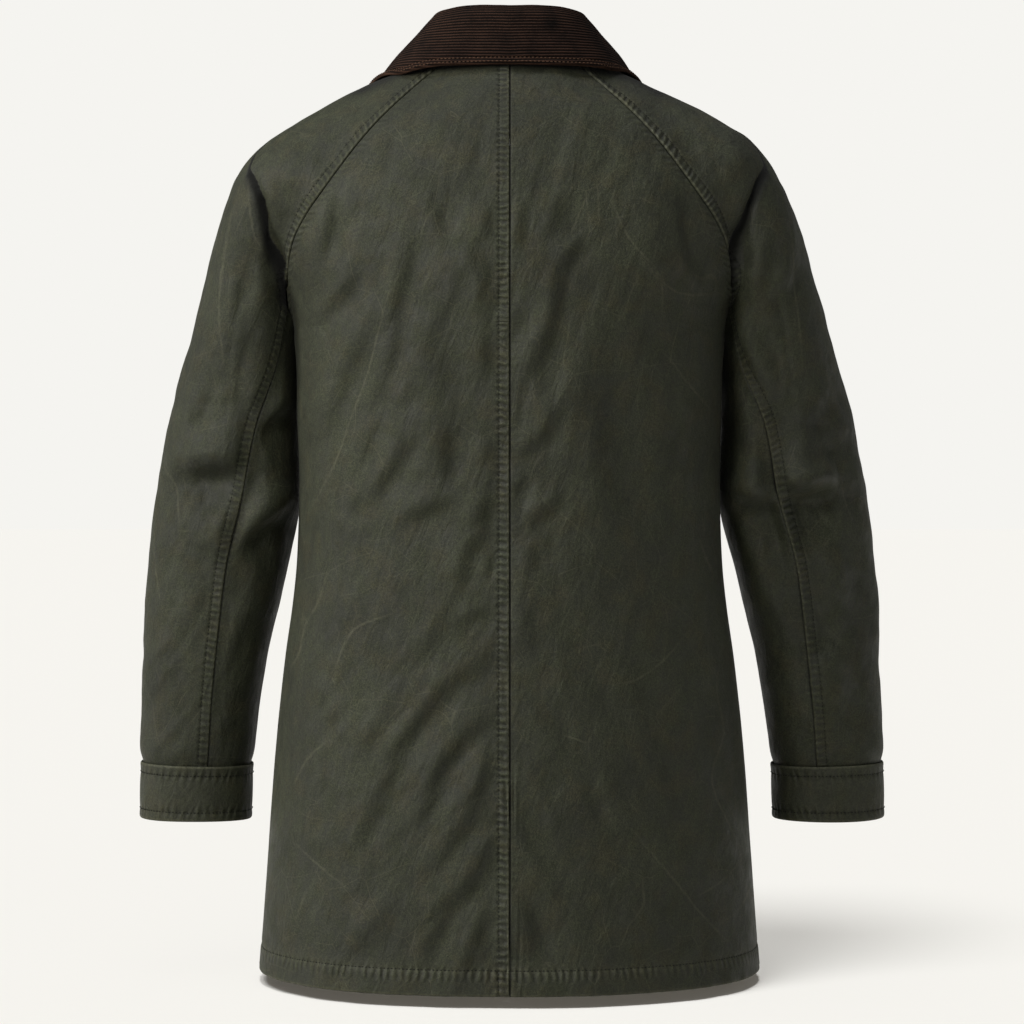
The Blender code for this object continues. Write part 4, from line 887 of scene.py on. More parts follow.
def body_panel(name, lines, facing, across_step, down_step, middle_band):
    """One back or front panel: its fine grid, folded, with its seams and its doubled hem."""
    arm, side = lines["arm"], lines["side"]
    coarse = body_rows(arm, lines[facing]["body"], facing, BODY_COLUMNS)
    grid, from_middle, from_side, down = dense_grid(coarse, across_step, down_step, True)
    grid[:, 0, 0] = 0.0
    grid = filled(snapped(grid, from_side, lines[facing]["body_edge"], -1))
    base = orientation(grid, np.array([0.0, facing, 0.0]))
    faced = np.clip(base[:, :, 1] * facing, 0, 1) ** 0.7
    across, drop = seen_places(grid, side)
    if facing < 0:
        across, drop = -across, drop + FRONT_HIGHER
        faced = faced * (0.15 + 0.85 * stepped(np.abs(across), *FLY_CLEAR))
    corner = np.argmin(np.abs(-grid[:, -1, 2] - ARMHOLE_STATION_DROP))
    held = 0.1 + 0.9 * stepped(from_side, 0, 24)
    folds = (2.2 - 0.6 * stepped(drop, 420, 600)) * folded(BACK_FOLDS, across, drop) * faced * held
    fine = streaks(across, drop, 24, 105, 2) + 0.5 * streaks(across, drop, 11, 60, 7)
    folds = folds + 1.2 * fine * faced * held * (0.5 + uneven(grid, side, 70, 41)) * stepped(drop, -5, 90)
    open_air = 0.2 + 0.8 * np.clip(np.abs(base[:, :, 1]) / 0.6, 0, 1)
    soft = unevenness(grid, side, ((1.8, 85, 3), (1.0, 38, 11), (0.4, 17, 29)))
    rise = folds + soft * open_air * stepped(from_side, -6, 14)
    at_raglan = down <= down[corner, 0] + 12
    beside = read_steps(BESIDE, from_side)
    seams = np.where(at_raglan | (facing < 0), beside, read_steps(BAND, from_side))
    if facing > 0:
        seams = seams + read_steps(BAND if middle_band else BESIDE, from_middle)
    to_hem = down[-1, 0] - down
    bands = seams * stepped(to_hem, 0, 3) + read_steps(HEM, to_hem)
    outer, inner, normal = cloth_walls(grid, base, rise, bands)
    # Paler along the hem, its row of stitches and the seams' folded edges: rubbed wear, with a painted
    # highlight on the folded edges
    worn = (
        0.9 * np.exp(-((to_hem / 1.6) ** 2))
        + 0.2 * np.exp(-(((to_hem - HEM_STITCH) / 5) ** 2))
        + np.where(at_raglan | (facing < 0), 0, 0.6 * np.exp(-(((from_side - 1.0) / 0.8) ** 2)))
    )
    # Painted shade: near black in the crevice beside the raglan and front seams and beside the right half of
    # the middle seam, plus the painted shadow under the collar's edge
    painted_shade = np.where(at_raglan | (facing < 0), np.exp(-((from_side / 1.15) ** 4)), 0)
    if facing > 0 and middle_band:
        worn = worn + 0.75 * np.exp(-(((from_middle - 0.9) / 0.7) ** 2))
    elif facing > 0:
        painted_shade = painted_shade + np.exp(-((from_middle / 1.25) ** 4))
    painted_shade = painted_shade + painted_collar_shadow(across, drop, facing > 0)
    marks = {
        "seam_down": puckered(down, from_side if middle_band else np.minimum(from_side, FAR)),
        "seam_across": puckered(from_middle + side * 400, to_hem, HEM_STITCH, 0.85),
        "wear": np.stack([np.clip(worn, 0, 1), np.clip(painted_shade, 0, 1), np.full_like(painted_shade, FAR)], axis=2),
    }
    if facing > 0:
        marks["rubbed"] = worn_lines(BACK_WORN, across, drop)
    middle = puckered(down + 3.0, from_middle, SEAM_STITCH, 1.0 if middle_band else 0.12)
    nearer_middle = (from_middle < from_side)[:, :, None]
    marks["seam_down"] = np.where(nearer_middle, middle, marks["seam_down"])
    fade = np.where(at_raglan | (facing < 0), 0.4, 1.0)
    marks["seam_down"][:, :, 2] *= np.where(nearer_middle[:, :, 0], 1.0, fade)
    piece = cloth_mesh(name, mirrored(outer, side), mirrored(inner, side), waxed_cotton, marks)
    return piece, mirrored(outer, side), mirrored(normal, side), to_hem


MATH, NOISE, RANGE, MIX = "ShaderNodeMath", "ShaderNodeTexNoise", "ShaderNodeMapRange", "ShaderNodeMix"
TIMES, TIMES_PLUS = {"operation": "MULTIPLY"}, {"operation": "MULTIPLY_ADD"}
SMOOTH = {"interpolation_type": "SMOOTHSTEP"}
COLOURS = {"data_type": "RGBA", "out": 2}  # a mix's share and two colours are its inputs 0, 6 and 7
PUCKER_STEP = 6.8  # millimetres from one pucker to the next, two stitches


def new_material(name):
    """An empty material, and add_node for its own tree."""
    material = bpy.data.materials.new(name)
    material.use_nodes = True
    material.node_tree.nodes.clear()
    return material, partial(add_node, material.node_tree)


def waxed_cotton_material():
    """Tight cotton soaked in wax: mottled where the wax is thin, rubbed pale on its creases and edges, with
    painted highlights on folded edges and painted shade in creases, crevices and on puckers.
    """
    material, node = new_material("cotton_canvas_wax_proofed")
    place = node("ShaderNodeTexCoord", out="Object")
    millimetres = node("ShaderNodeVectorMath", {0: place, "Scale": 1000.0}, operation="SCALE")
    # Each noise: the size of its largest blots in millimetres, its detail and its roughness
    noises = {}
    for name, size, detail, rough in (
        ("large", 70, 3.0, 0.55), ("cloudy", 16, 4.0, 0.6), ("brown", 24, 3.0, 0.6), ("bent", 5, 2.0, 0.5),
        ("pitted", 2.2, 4.0, 0.75), ("grain", 1.1, 3.0, 0.75), ("weave", 0.45, 1.0, 0.5),
        ("broken", 7, 3.0, 0.5), ("worn", 2.6, 3.0, 0.7), ("wander", 18, 1.0, 0.5), ("patchy", 22, 1.0, 0.5),
        ("wide_net", 52.0, 3.0, 0.5), ("close_net", 23.0, 3.0, 0.5),
    ):
        inputs = {"Vector": millimetres, "Scale": 1 / size, "Detail": detail, "Roughness": rough}
        noises[name] = node(NOISE, inputs)

    def marks(name):
        """The three numbers that each point carries under this name."""
        held = node("ShaderNodeAttribute", out="Vector", attribute_name=name)
        return tuple(node("ShaderNodeSeparateXYZ", (held,), None))

    # Painted shade deep in the crease under the arm: black at its edge and easing off outboard.
    worn, painted_shade, crease = marks("wear")
    inner = node(RANGE, (crease, -1.4, 0.0), **SMOOTH)
    outer_side = node(MATH, (node(RANGE, (crease, 3.0, 16.0, 1.0, 0.0), **SMOOTH), 1.3), operation="POWER")
    painted_shade = node(MATH, (painted_shade, node(MATH, (inner, outer_side), **TIMES)), operation="MAXIMUM")

    # Creases rubbed pale: the ones laid along the panels, and a faint net of others where the wax has cracked
    beside_line, rubbed_there, _ = marks("rubbed")
    bent = node(MATH, (noises["bent"], 0.5), operation="SUBTRACT")
    off_line = node(MATH, (node(MATH, (bent, 2.2, beside_line), **TIMES_PLUS),), operation="ABSOLUTE")
    broken = node(RANGE, (noises["broken"], 0.3, 0.6, 0.35, 1.0), **SMOOTH)
    on_line = node(RANGE, (off_line, 0.2, 1.7, 1.0, 0.0), **SMOOTH)
    laid = node(MATH, (on_line, node(MATH, (rubbed_there, broken), **TIMES)), **TIMES)
    nets = []
    for name, size, width, low, high in (
        ("wide_net", 52.0, 0.6, 0.42, 0.62),
        ("close_net", 23.0, 0.4, 0.46, 0.66),
    ):
        warp = node(NOISE, {"Vector": millimetres, "Scale": 0.6 / size, "Detail": 1.0}, "Color")
        warped = node("ShaderNodeVectorMath", (warp, (size * 0.5,) * 3, millimetres), **TIMES_PLUS)
        inputs = {"Vector": warped, "Scale": 1 / size}
        cells = node("ShaderNodeTexVoronoi", inputs, "Distance", feature="DISTANCE_TO_EDGE")
        line = node(RANGE, (cells, 0.0, width / size, 1.0, 0.0), **SMOOTH)
        nets.append(node(MATH, (line, node(RANGE, (noises[name], low, high), **SMOOTH)), **TIMES))
    cracked = node(MATH, nets, operation="MAXIMUM")

    # Puckers across each row of stitches, about one to every second stitch
    puckers = []
    for name in ("seam_down", "seam_across"):
        along, away, strength = marks(name)
        wander = node(MATH, (noises["wander"], 7.0), **TIMES)
        slanted = node(MATH, (away, 0.14, along), **TIMES_PLUS)
        turn = node(MATH, (slanted, 2 * math.pi / PUCKER_STEP, wander), **TIMES_PLUS)
        wave = node(MATH, (node(MATH, (turn,), operation="SINE"), strength), **TIMES)
        patchy = node(RANGE, (noises["patchy"], 0.3, 0.6, 0.5, 1.0), **SMOOTH)
        puckers.append(node(MATH, (wave, patchy), **TIMES))
    puckered_by = node(MATH, puckers, operation="ADD")

    # Fine slanting drags in the cloth, between the folds
    x, y, z = node("ShaderNodeSeparateXYZ", (millimetres,), None)
    slanting = (node(MATH, (z, 0.32, x), **TIMES_PLUS), y, node(MATH, (z, 0.3), **TIMES))
    slanting = node("ShaderNodeCombineXYZ", slanting)
    inputs = {"Vector": slanting, "Scale": 1 / 10, "Detail": 3.0, "Roughness": 0.55, "Distortion": 0.5}
    dragged = node(NOISE, inputs)

    # Olive, greener and browner in clouds, speckled where the wax sits in the weave. The puckers are painted
    # paler on their crests and darker in their hollows: painted light and shade.
    tone = node(MATH, (noises["cloudy"], 0.45, node(MATH, (noises["large"], 0.55), **TIMES)), **TIMES_PLUS)
    tone = node(RANGE, (tone, 0.33, 0.67), **SMOOTH)
    colour = node(MIX, {0: tone, 6: linear("#292B1E"), 7: linear("#353827")}, **COLOURS)
    browned = node(RANGE, (noises["brown"], 0.46, 0.68, 0.0, 0.45), **SMOOTH)
    colour = node(MIX, {0: browned, 6: colour, 7: linear("#393622")}, **COLOURS)
    speckle = node(RANGE, (noises["grain"], 0.36, 0.66, 0.68, 1.32), **SMOOTH)
    for factor in (
        node(RANGE, (noises["pitted"], 0.34, 0.66, 0.74, 1.26), **SMOOTH),
        node(MATH, (puckered_by, 0.55, 1.1), **TIMES_PLUS),
        node(RANGE, (dragged, 0.3, 0.7, 0.86, 1.14), **SMOOTH),
    ):
        speckle = node(MATH, (speckle, factor), **TIMES)
    colour = node("ShaderNodeVectorMath", {0: colour, "Scale": speckle}, operation="SCALE")
    rubbed = node(MATH, (worn, node(RANGE, (noises["worn"], 0.35, 0.62, 0.35, 1.0), **SMOOTH)), **TIMES)
    # Pale where the wax has cracked and along rubbed creases; pale on rubbed edges, which also carry a
    # painted highlight; near black where shade is painted
    for there, share, code in (
        (cracked, 0.3, "#64624D"), (laid, 0.2, "#807E66"), (rubbed, 0.8, "#787860"), (painted_shade, 0.97, "#040403")
    ):
        colour = node(MIX, {0: node(MATH, (there, share), **TIMES), 6: colour, 7: linear(code)}, **COLOURS)

    # The height of each unevenness, in millimetres
    inputs = {"Vector": millimetres, "Scale": 1 / 9, "Detail": 3.0, "Roughness": 0.55, "Distortion": 0.6}
    height = node(MATH, (noises["weave"], 0.03), **TIMES)
    for part, size in (
        (noises["grain"], 0.12), (noises["pitted"], 0.3), (puckered_by, 0.7),
        (node(NOISE, inputs), 0.6), (dragged, 1.3),
    ):
        height = node(MATH, (part, size, height), **TIMES_PLUS)
    bump = node("ShaderNodeBump", {"Strength": 1.0, "Distance": 0.001, "Height": height})
    rough = node(RANGE, (noises["cloudy"], 0.3, 0.7, 0.58, 0.74), **SMOOTH)
    shader = node(
        "ShaderNodeBsdfPrincipled",
        {
            "Base Color": colour,
            "Roughness": node(MATH, (rough, painted_shade), operation="MAXIMUM"),
            "Normal": bump,
            "Specular IOR Level": 0.4,
            "Sheen Weight": 0.03,
            "Sheen Roughness": 0.5,
        },
    )
    node("ShaderNodeOutputMaterial", {"Surface": shader}, None)
    return material


# Olive cotton, proofed by brushing melted wax into it.
waxed_cotton = waxed_cotton_material()


def finish_cloth(piece, node):
    """Sets a cloth piece in its solid's place under the root, and hides the solid."""
    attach(piece, "root")
    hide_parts(node)


lines = {side: side_lines(side) for side in (1, -1)}
for side, label in ((1, "left"), (-1, "right")):
    piece, outer, normal, to_hem = body_panel("back_" + label + "_cloth", lines[side], 1, 3.0, 3.0, side > 0)
    lines[side]["back_surface"] = (outer, normal)
    floor_shade.objects.link(piece)
    finish_cloth(piece, "back_" + label)

# ---- Front panels ------------------------------------------------------------------------------------------
# Two front panels of the same cloth run from the raglan seams to the hem and meet under the fly. They hang as
# the back does, so their folds are the back's, turned round to the front.

for side, label in ((1, "left"), (-1, "right")):
    piece, outer, normal, to_hem = body_panel("front_" + label + "_cloth", lines[side], -1, 4.6, 4.6, False)
    lines[side]["front_surface"] = (outer, normal)
    floor_shade.objects.link(piece)
    finish_cloth(piece, "front_" + label)

# ---- Sleeves -----------------------------------------------------------------------------------------------
# Each raglan sleeve is an outer panel from the neck over the shoulder to the wrist, and an under panel from
# the bottom of the armhole. The outer panel's felled edges lie on the body and on the under panel.

OUTER_COLUMNS = 16
OUTER_STEP, UNDER_STEP = 3.1, 4.4  # how fine the grids are
# The folds and the rubbed lines of the left sleeve and the right one, laid out as the back's are
SLEEVE_FOLDS = {
    1: (
        (7, 0.9, 266, 162, 259, 197, 256, 229, 245, 252),
        (8, 4.0, 232, 370, 250, 373, 276, 371, 296, 373, 313, 381),
        (9, 3.0, 196, 318, 214, 322, 238, 332), (9, 3.4, 195, 400, 223, 420, 248, 441, 253, 456),
        (6, 0.8, 236, 499, 268, 568), (5, 0.8, 252, 600, 277, 638), (6, 0.6, 260, 579, 274, 622),
        (6, 0.5, 297, 457, 283, 503), (5, 0.5, 288, 303, 297, 336), (6, 0.5, 320, 531, 311, 587),
    ),
    -1: (
        (6, 1, -212, 211, -234, 251, -252, 294), (7, 1, -219, 279, -244, 336, -255, 379),
        (7, 1, -298, 294, -280, 336, -291, 365), (7, 1.1, -295, 408, -262, 422, -227, 429),
        (6, 0.9, -262, 465, -277, 501, -269, 544), (7, 0.9, -302, 429, -316, 487, -312, 530),
        (7, 0.9, -248, 580, -277, 551, -312, 537), (6, 0.9, -255, 115, -269, 165, -266, 200),
        (5, 0.9, -248, 150, -237, 186, -219, 222), (7, 0.8, -269, 186, -244, 222, -249, 254),
        (9, 0.6, -291, 279, -312, 322), (8, 4.8, -307, 389, -262, 394, -212, 412),
        (8, 0.8, -323, 336, -269, 358),
        (7, 0.8, -219, 422, -241, 465, -255, 508), (7, 0.6, -320, 465, -291, 508, -284, 544),
        (6, 0.6, -241, 580, -255, 623), (6, 0.5, -312, 565, -309, 615),
    ),
}
SLEEVE_WORN = {
    1: (
        (256, 124, 266, 177, 269, 226, 267, 255, 266, 284), (243, 98, 242, 124, 236, 164),
        (322, 366, 315, 379, 306, 426), (333, 429, 331, 458, 325, 494),
    ),
    -1: (
        (-258, 135, -266, 190, -270, 235, -272, 276), (-270, 136, -284, 187), (-306, 373, -319, 419),
    ),
}


def outer_sleeve_rows(arm, back_seam, front_seam, back_sleeve, front_sleeve):
    """Rows over the shoulder and then round the outer half of the sleeve."""
    neck = neck_line(arm, np.linspace(RAGLAN_NECK_ANGLE["back"], RAGLAN_NECK_ANGLE["front"], 40))
    neck[0], neck[-1] = back_seam[0], front_seam[0]
    rows = [even(neck, OUTER_COLUMNS)]
    last = back_sleeve[0][0]
    for index in range(1, RAGLAN_ROWS):
        part = index / RAGLAN_ROWS
        station = last * part
        outer = np.array([np.interp(station, arm["station"], arm["outer"][:, axis]) for axis in range(2)])
        top = np.array([outer[0], arm_values(arm, np.array([station]))[4][0], outer[1]])
        start_point, end_point = back_seam[index], front_seam[index]
        middle = (start_point + end_point) / 2
        middle = middle + (top - middle) * TOP_SHARE * part**2
        upward = top - middle
        upward /= np.linalg.norm(upward)
        sideways = start_point - end_point
        sideways = sideways - upward * (sideways @ upward)
        sideways /= np.linalg.norm(sideways)
        begin = math.atan2((start_point - middle) @ sideways, (start_point - middle) @ upward)
        finish = math.atan2((end_point - middle) @ sideways, (end_point - middle) @ upward)
        turns = np.linspace(begin, finish, 110)
        directions = np.cos(turns)[:, None] * upward + np.sin(turns)[:, None] * sideways
        starts = np.repeat(middle[None, :], len(turns), axis=0)
        row = first_crossing(starts, directions, lambda p: form_gap(p, arm), 200, 120)
        row[0], row[-1] = start_point, end_point
        rows.append(even(row, OUTER_COLUMNS))
    for index in range(SLEEVE_ROWS + 1):
        station = back_sleeve[0][index]
        turns = np.linspace(back_sleeve[1][index], front_sleeve[1][index], 80)
        row = sleeve_ring(arm, station, turns, clearance_at(station, last))
        row[0], row[-1] = back_sleeve[2][index], front_sleeve[2][index]
        rows.append(even(row, OUTER_COLUMNS))
    return np.array(rows)


def under_sleeve_rows(arm, armhole, back_sleeve, front_sleeve):
    """Rows round the inner half of the sleeve, from the bottom of the armhole to the wrist."""
    rows = [armhole]
    columns = len(armhole)
    first = back_sleeve[0][0]
    dip = np.sin(np.linspace(0, math.pi, columns)) * ARMHOLE_DIP
    for index in range(1, SLEEVE_ROWS + 1):
        station = back_sleeve[0][index]
        low, high = back_sleeve[1][index], front_sleeve[1][index] + 360.0
        turns = np.linspace(low, high, columns)
        left = 1 - (station - first) / (back_sleeve[0][-1] - first)
        row = []
        for column in range(columns):
            place = station + dip[column] * left
            clearance = clearance_at(place, first)
            row.append(sleeve_ring(arm, place, turns[column : column + 1], clearance)[0])
        row[0], row[-1] = back_sleeve[2][index], front_sleeve[2][index]
        rows.append(np.array(row))
    return np.array(rows)


# The sharp crease where each raglan sleeve's own cloth folds under the arm, laid out as the creases above are
UNDERARM_CREASES = {
    1: (
        (241, 96, 229, 125, 0, 3.4, -7, 1.4),
        (231, 120, 219, 165, 0, 4.4, -11, 1.5),
        (221, 158, 203, 222, 0, 5, -12, 1.6),
    ),
    -1: (
        (-236, 94, -224, 125, 0, 3.4, -7, 1.4),
        (-226, 120, -212, 160, 0, 4.4, -11, 1.5),
        (-213, 155, -198, 222, 0, 5, -12, 1.6),
    ),
}
SEEN_FOLDS, HIDDEN_FOLDS = {1: 2.4, -1: 3.2}, 1.6  # how strongly the folds are laid behind and before
HIDDEN_HIGHER = 14.0  # the folds before are the ones behind, this much higher up
TOUCHING = {1: 3.0, -1: 6.0}  # under the arm each sleeve is this much fuller, where it lies against the body
SLEEVE_TURN = 12.0  # the back of each sleeve is this much fuller at its seam and flatter at its outer line


def sleeve_rise(grid, base, side, from_seams):
    """A sleeve panel's folds and soft unevenness, quieter at its seams, and where it is fuller."""
    across, drop = seen_places(grid, side)
    behind = np.clip(base[:, :, 1], 0, 1) ** 0.7
    before = np.clip(-base[:, :, 1], 0, 1) ** 0.7
    inner_side = np.clip(-base[:, :, 0], 0, 1)
    # Both panels move alike where they meet, as cloth that faces halfway round.
    at_seam = 1 - stepped(from_seams, 0, 30)
    halfway = 0.7
    behind = behind + at_seam * (halfway * (base[:, :, 1] > 0) - behind)
    before = before + at_seam * (halfway * (base[:, :, 1] < 0) - before)
    inner_side = inner_side + at_seam * (halfway - inner_side)
    seen = SEEN_FOLDS[side] * folded(SLEEVE_FOLDS[side], across, drop) * behind
    hidden = HIDDEN_FOLDS * folded(SLEEVE_FOLDS[side], across, drop + HIDDEN_HIGHER) * before
    held = 0.15 + 0.85 * stepped(from_seams, 0, 16)
    inward = np.interp(drop, ARM[:, 0], ARM[:, 1 if side > 0 else 2] - ARM[:, 3]) - np.abs(across)
    turned = SLEEVE_TURN * np.clip(inward / 60, -1, 1) * stepped(drop, 40, 170) * (behind - 0.5 * before)
    turned = turned * (1 - 0.3 * stepped(drop, 380, 520))
    turned = turned * np.maximum(stepped(from_seams, 0, 45), stepped(drop, 175, 250))
    crease = fold_sum(UNDERARM_CREASES[side], across, drop) * (behind + before)
    from_middle = np.abs(across) - 260
    fine = streaks(from_middle, drop, 20, 80, 13) + 0.4 * streaks(from_middle, drop, 9, 40, 17)
    seen = seen + 1.3 * fine * (behind + before) * stepped(drop, 30, 110)
    outward = np.clip(base[:, :, 0], -1, 1)
    open_air = np.where(outward > 0, 1.0, 0.2 + 0.8 * np.clip(np.abs(base[:, :, 1]) / 0.6, 0, 1))
    soft = unevenness(grid, side, ((1.8, 62, 3), (1.1, 30, 11), (0.5, 15, 29)))
    ending = 1 - stepped(-grid[:, :, 2], 590, 648)
    touching = TOUCHING[side] * stepped(drop, 205, 265) * (1 - stepped(drop, 385, 470)) * inner_side
    folds = (seen + hidden) * held * (0.3 + 0.7 * ending) + crease * ending
    fuller = np.stack([-touching, turned, np.zeros_like(turned)], axis=2) * ending[:, :, None]
    return folds, soft * (0.4 + 0.6 * ending) * open_air * stepped(from_seams, -6, 14), fuller


for side, label in ((1, "left"), (-1, "right")):
    own = lines[side]
    arm, back, front = own["arm"], own[1], own[-1]
    coarse = outer_sleeve_rows(arm, back["raglan"], front["raglan"], back["sleeve"], front["sleeve"])
    grid, from_back, from_front, down = dense_grid(coarse, OUTER_STEP, OUTER_STEP)
    grid = snapped(grid, from_back, back["sleeve_side_edge"], 0)
    grid = filled(snapped(grid, from_front, front["sleeve_side_edge"], -1))
    middle = grid.mean(axis=1, keepdims=True)
    base = orientation(grid, grid - middle)
    from_seams = np.minimum(from_back, from_front)
    folds, soft, fuller = sleeve_rise(grid, base, side, from_seams)
    grid = grid + fuller
    bands = read_steps(BAND, from_back) + read_steps(BAND, from_front)
    to_end = down[-1, 0] - down
    # The felled edge is tucked down onto the under panel, below the armhole.
    tucked = 2.2 * np.exp(-((from_seams / 0.3) ** 2)) * stepped(-grid[:, :, 2], 260, 320)
    bands = (bands - tucked) * stepped(to_end, 4, 26)
    outer, inner, normal = cloth_walls(grid, base, folds + soft, bands)
    # Paler on the felled edges: rubbed wear and a painted highlight
    edge = np.exp(-(((from_seams - 1.0) / 0.8) ** 2))
    across, drop = seen_places(grid, side)
    # The painted shade of the crease stays off the front and off the top of the shoulder.
    turned_away = 50 * (1 - stepped(base[:, :, 1], 0.15, 0.5))
    crease = np.clip(beyond_crease(side, across, drop) + turned_away, -FAR, FAR)
    crease = np.where(grid[:, :, 1] > 0, crease, FAR)
    # Painted shadow under the collar's edge, over the top of the sleeve
    shade = painted_collar_shadow(across, drop, grid[:, :, 1] > 0)
    marks = {
        "seam_down": puckered(down, from_seams, 8.4, 0.9),
        "seam_across": np.zeros(grid.shape),
        "wear": np.stack([0.55 * edge, shade, crease], axis=2),
        "rubbed": worn_lines(SLEEVE_WORN[side], across, drop) * (grid[:, :, 1:2] > -40),
    }
    name = "sleeve_outer_" + label
    piece = cloth_mesh(name + "_cloth", mirrored(outer, side), mirrored(inner, side), waxed_cotton, marks)
    own["outer_surface"] = (mirrored(outer, side), mirrored(normal, side))
    own["outer_to_end"] = to_end
    finish_cloth(piece, name)

    coarse = under_sleeve_rows(arm, own["armhole"], back["sleeve"], front["sleeve"])
    grid, from_back, from_front, down = dense_grid(coarse, UNDER_STEP, UNDER_STEP)
    grid = snapped(grid, from_back, back["sleeve_edge"], 0)
    grid = snapped(grid, from_front, front["sleeve_edge"], -1)
    grid = filled(snapped(grid.transpose(1, 0, 2), down.T, own["armhole_edge"], 0).transpose(1, 0, 2))
    base = orientation(grid, np.broadcast_to([-1.0, 0.0, 0.0], grid.shape))
    from_seams = np.minimum(from_back, from_front)
    folds, soft, fuller = sleeve_rise(grid, base, side, from_seams)
    grid = grid + fuller
    rise = folds + soft * stepped(down, 0, 30)
    outer, inner, normal = cloth_walls(grid, base, rise, read_steps(BESIDE, from_seams))
    # The under panel is drawn dark with painted shade right along its seams
    marks = {
        "seam_down": puckered(down, from_seams, 3.0, 0.35),
        "seam_across": np.zeros(grid.shape),
        "wear": np.stack([np.zeros_like(rise), np.exp(-(from_seams**2)), np.full_like(rise, FAR)], axis=2),
    }
    name = "sleeve_under_" + label
    piece = cloth_mesh(name + "_cloth", mirrored(outer, side), mirrored(inner, side), waxed_cotton, marks)
    finish_cloth(piece, name)

# ---- Cuffs -------------------------------------------------------------------------------------------------
# A cuff is a folded band of the same cloth round the gathered end of each sleeve, with a row of stitches near
# its top and another near its lower edge.

CUFF_SIDES = 232
CUFF_LOW, CUFF_TOP = 699.0, 647.0
CUFF_RADIUS = 46.0  # by which a turn in radians becomes a place along the stitches
CUFF_STITCHES = (656.0, 690.2)
CUFF_OUTSIDE = 27  # so many points of the section are on the outside
# drop and distance out from the sleeve, round the section of the cuff's wall
CUFF_SECTION = (
    (649.5, 0.1), (647.6, 0.25), (646.9, 1), (647.1, 1.52), (648, 2.08), (649.6, 2.2), (651.8, 2),
    (654.2, 1.88), (655.6, 1.68), (656.5, 1.4), (657.4, 1.68), (659.2, 1.92), (663, 2.12), (668, 2.24),
    (673, 2.28), (678, 2.24), (683, 2.12), (687, 1.92), (689.1, 1.68), (690, 1.4), (690.9, 1.68),
    (693.2, 1.96), (695.8, 2.08), (697.8, 1.92), (698.8, 1.36), (698.9, 0.9), (698.2, 0.3), (695, 0.3),
    (685, 0.3), (670, 0.3), (657, 0.2),
)


def cuff_ring(arm, drop, out, turns):
    """Points round a cuff at one level, by the arm's own section there."""
    place = station_at_drop(arm, np.array([drop]))
    centre, outward, half_width, half_depth, centre_y = (value[0] for value in arm_values(arm, place))
    grown = out + 0.6 - WRIST_NARROWING
    level = (np.abs(np.cos(turns)) / (half_width + grown)) ** SECTION_POWER
    level = level + (np.abs(np.sin(turns)) / (half_depth + grown)) ** SECTION_POWER
    reach = level ** (-1 / SECTION_POWER)
    across = np.cos(turns) * reach
    level_with = centre_y + np.sin(turns) * reach
    return np.column_stack([centre[0] + across * outward[0], level_with, centre[1] + across * outward[1]])


for side, label in ((1, "left"), (-1, "right")):
    arm = lines[side]["arm"]
    turns = np.linspace(0, 2 * math.pi, CUFF_SIDES, endpoint=False)
    rings = []
    for drop, out in CUFF_SECTION:
        wave = 0.45 * np.sin(3 * turns + 1.2 * side) + 0.3 * np.sin(7 * turns + 2.0)
        sag = 0.5 * np.sin(2 * turns + 0.6 * side)
        shown = np.clip(out / 2.0, 0, 1)
        hung = drop + sag * (drop - CUFF_TOP) / (CUFF_LOW - CUFF_TOP)
        rings.append(cuff_ring(arm, hung, out + wave * shown * 0.5, turns))
    outer = np.array(rings).transpose(1, 0, 2)
    steps = np.array([drop for drop, _ in CUFF_SECTION])
    outside = np.arange(len(steps)) < CUFF_OUTSIDE
    along = turns * CUFF_RADIUS
    to_stitch = np.where(outside & (steps < 673), steps - CUFF_STITCHES[0], steps - CUFF_STITCHES[1])
    strength = np.where(outside, 0.8 * np.exp(-((to_stitch / 5.0) ** 2)), 0)
    shape = (CUFF_SIDES, len(steps))
    # Paler rims: rubbed wear, with a painted highlight on the rolled top and lower edges. The cuff's inside
    # is drawn darker with painted shade.
    rim = 0.5 * np.exp(-(((steps - 647.7) / 0.9) ** 2)) + 0.7 * np.exp(-(((steps - 698.2) / 0.8) ** 2))
    rim = np.where(outside, rim, 0)
    rows, columns = shape
    index = np.arange(rows * columns).reshape(rows, columns)
    a, b = index, np.roll(index, -1, axis=1)
    d, c = np.roll(a, -1, axis=0), np.roll(b, -1, axis=0)
    faces = np.stack([a, b, c, d], axis=2).reshape(-1, 4)
    marks = {
        "seam_down": (along[:, None], to_stitch, strength),
        "seam_across": (0.0, 0.0, 0.0),
        "wear": (rim + 0.12, np.where(outside, 0, 0.5), FAR),
    }
    for mark, values in marks.items():
        marks[mark] = np.stack([np.broadcast_to(value, shape) for value in values], axis=2)
    points = mirrored(outer, side).reshape(-1, 3) * MM
    piece = mesh_object("cuff_" + label + "_cloth", points, faces, waxed_cotton, marks)
    lines[side]["cuff_rows"] = [mirrored(cuff_ring(arm, drop, 2.0, turns), side) for drop in CUFF_STITCHES]
    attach(piece, "root")
    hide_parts("cuff_" + label)

# ---- Collar ------------------------------------------------------------------------------------------------
# The turned-down collar is brown cotton corduroy, about one wale to 2.7 mm with the wales along it, stood on
# the neck seam, rolled over and edge-stitched.

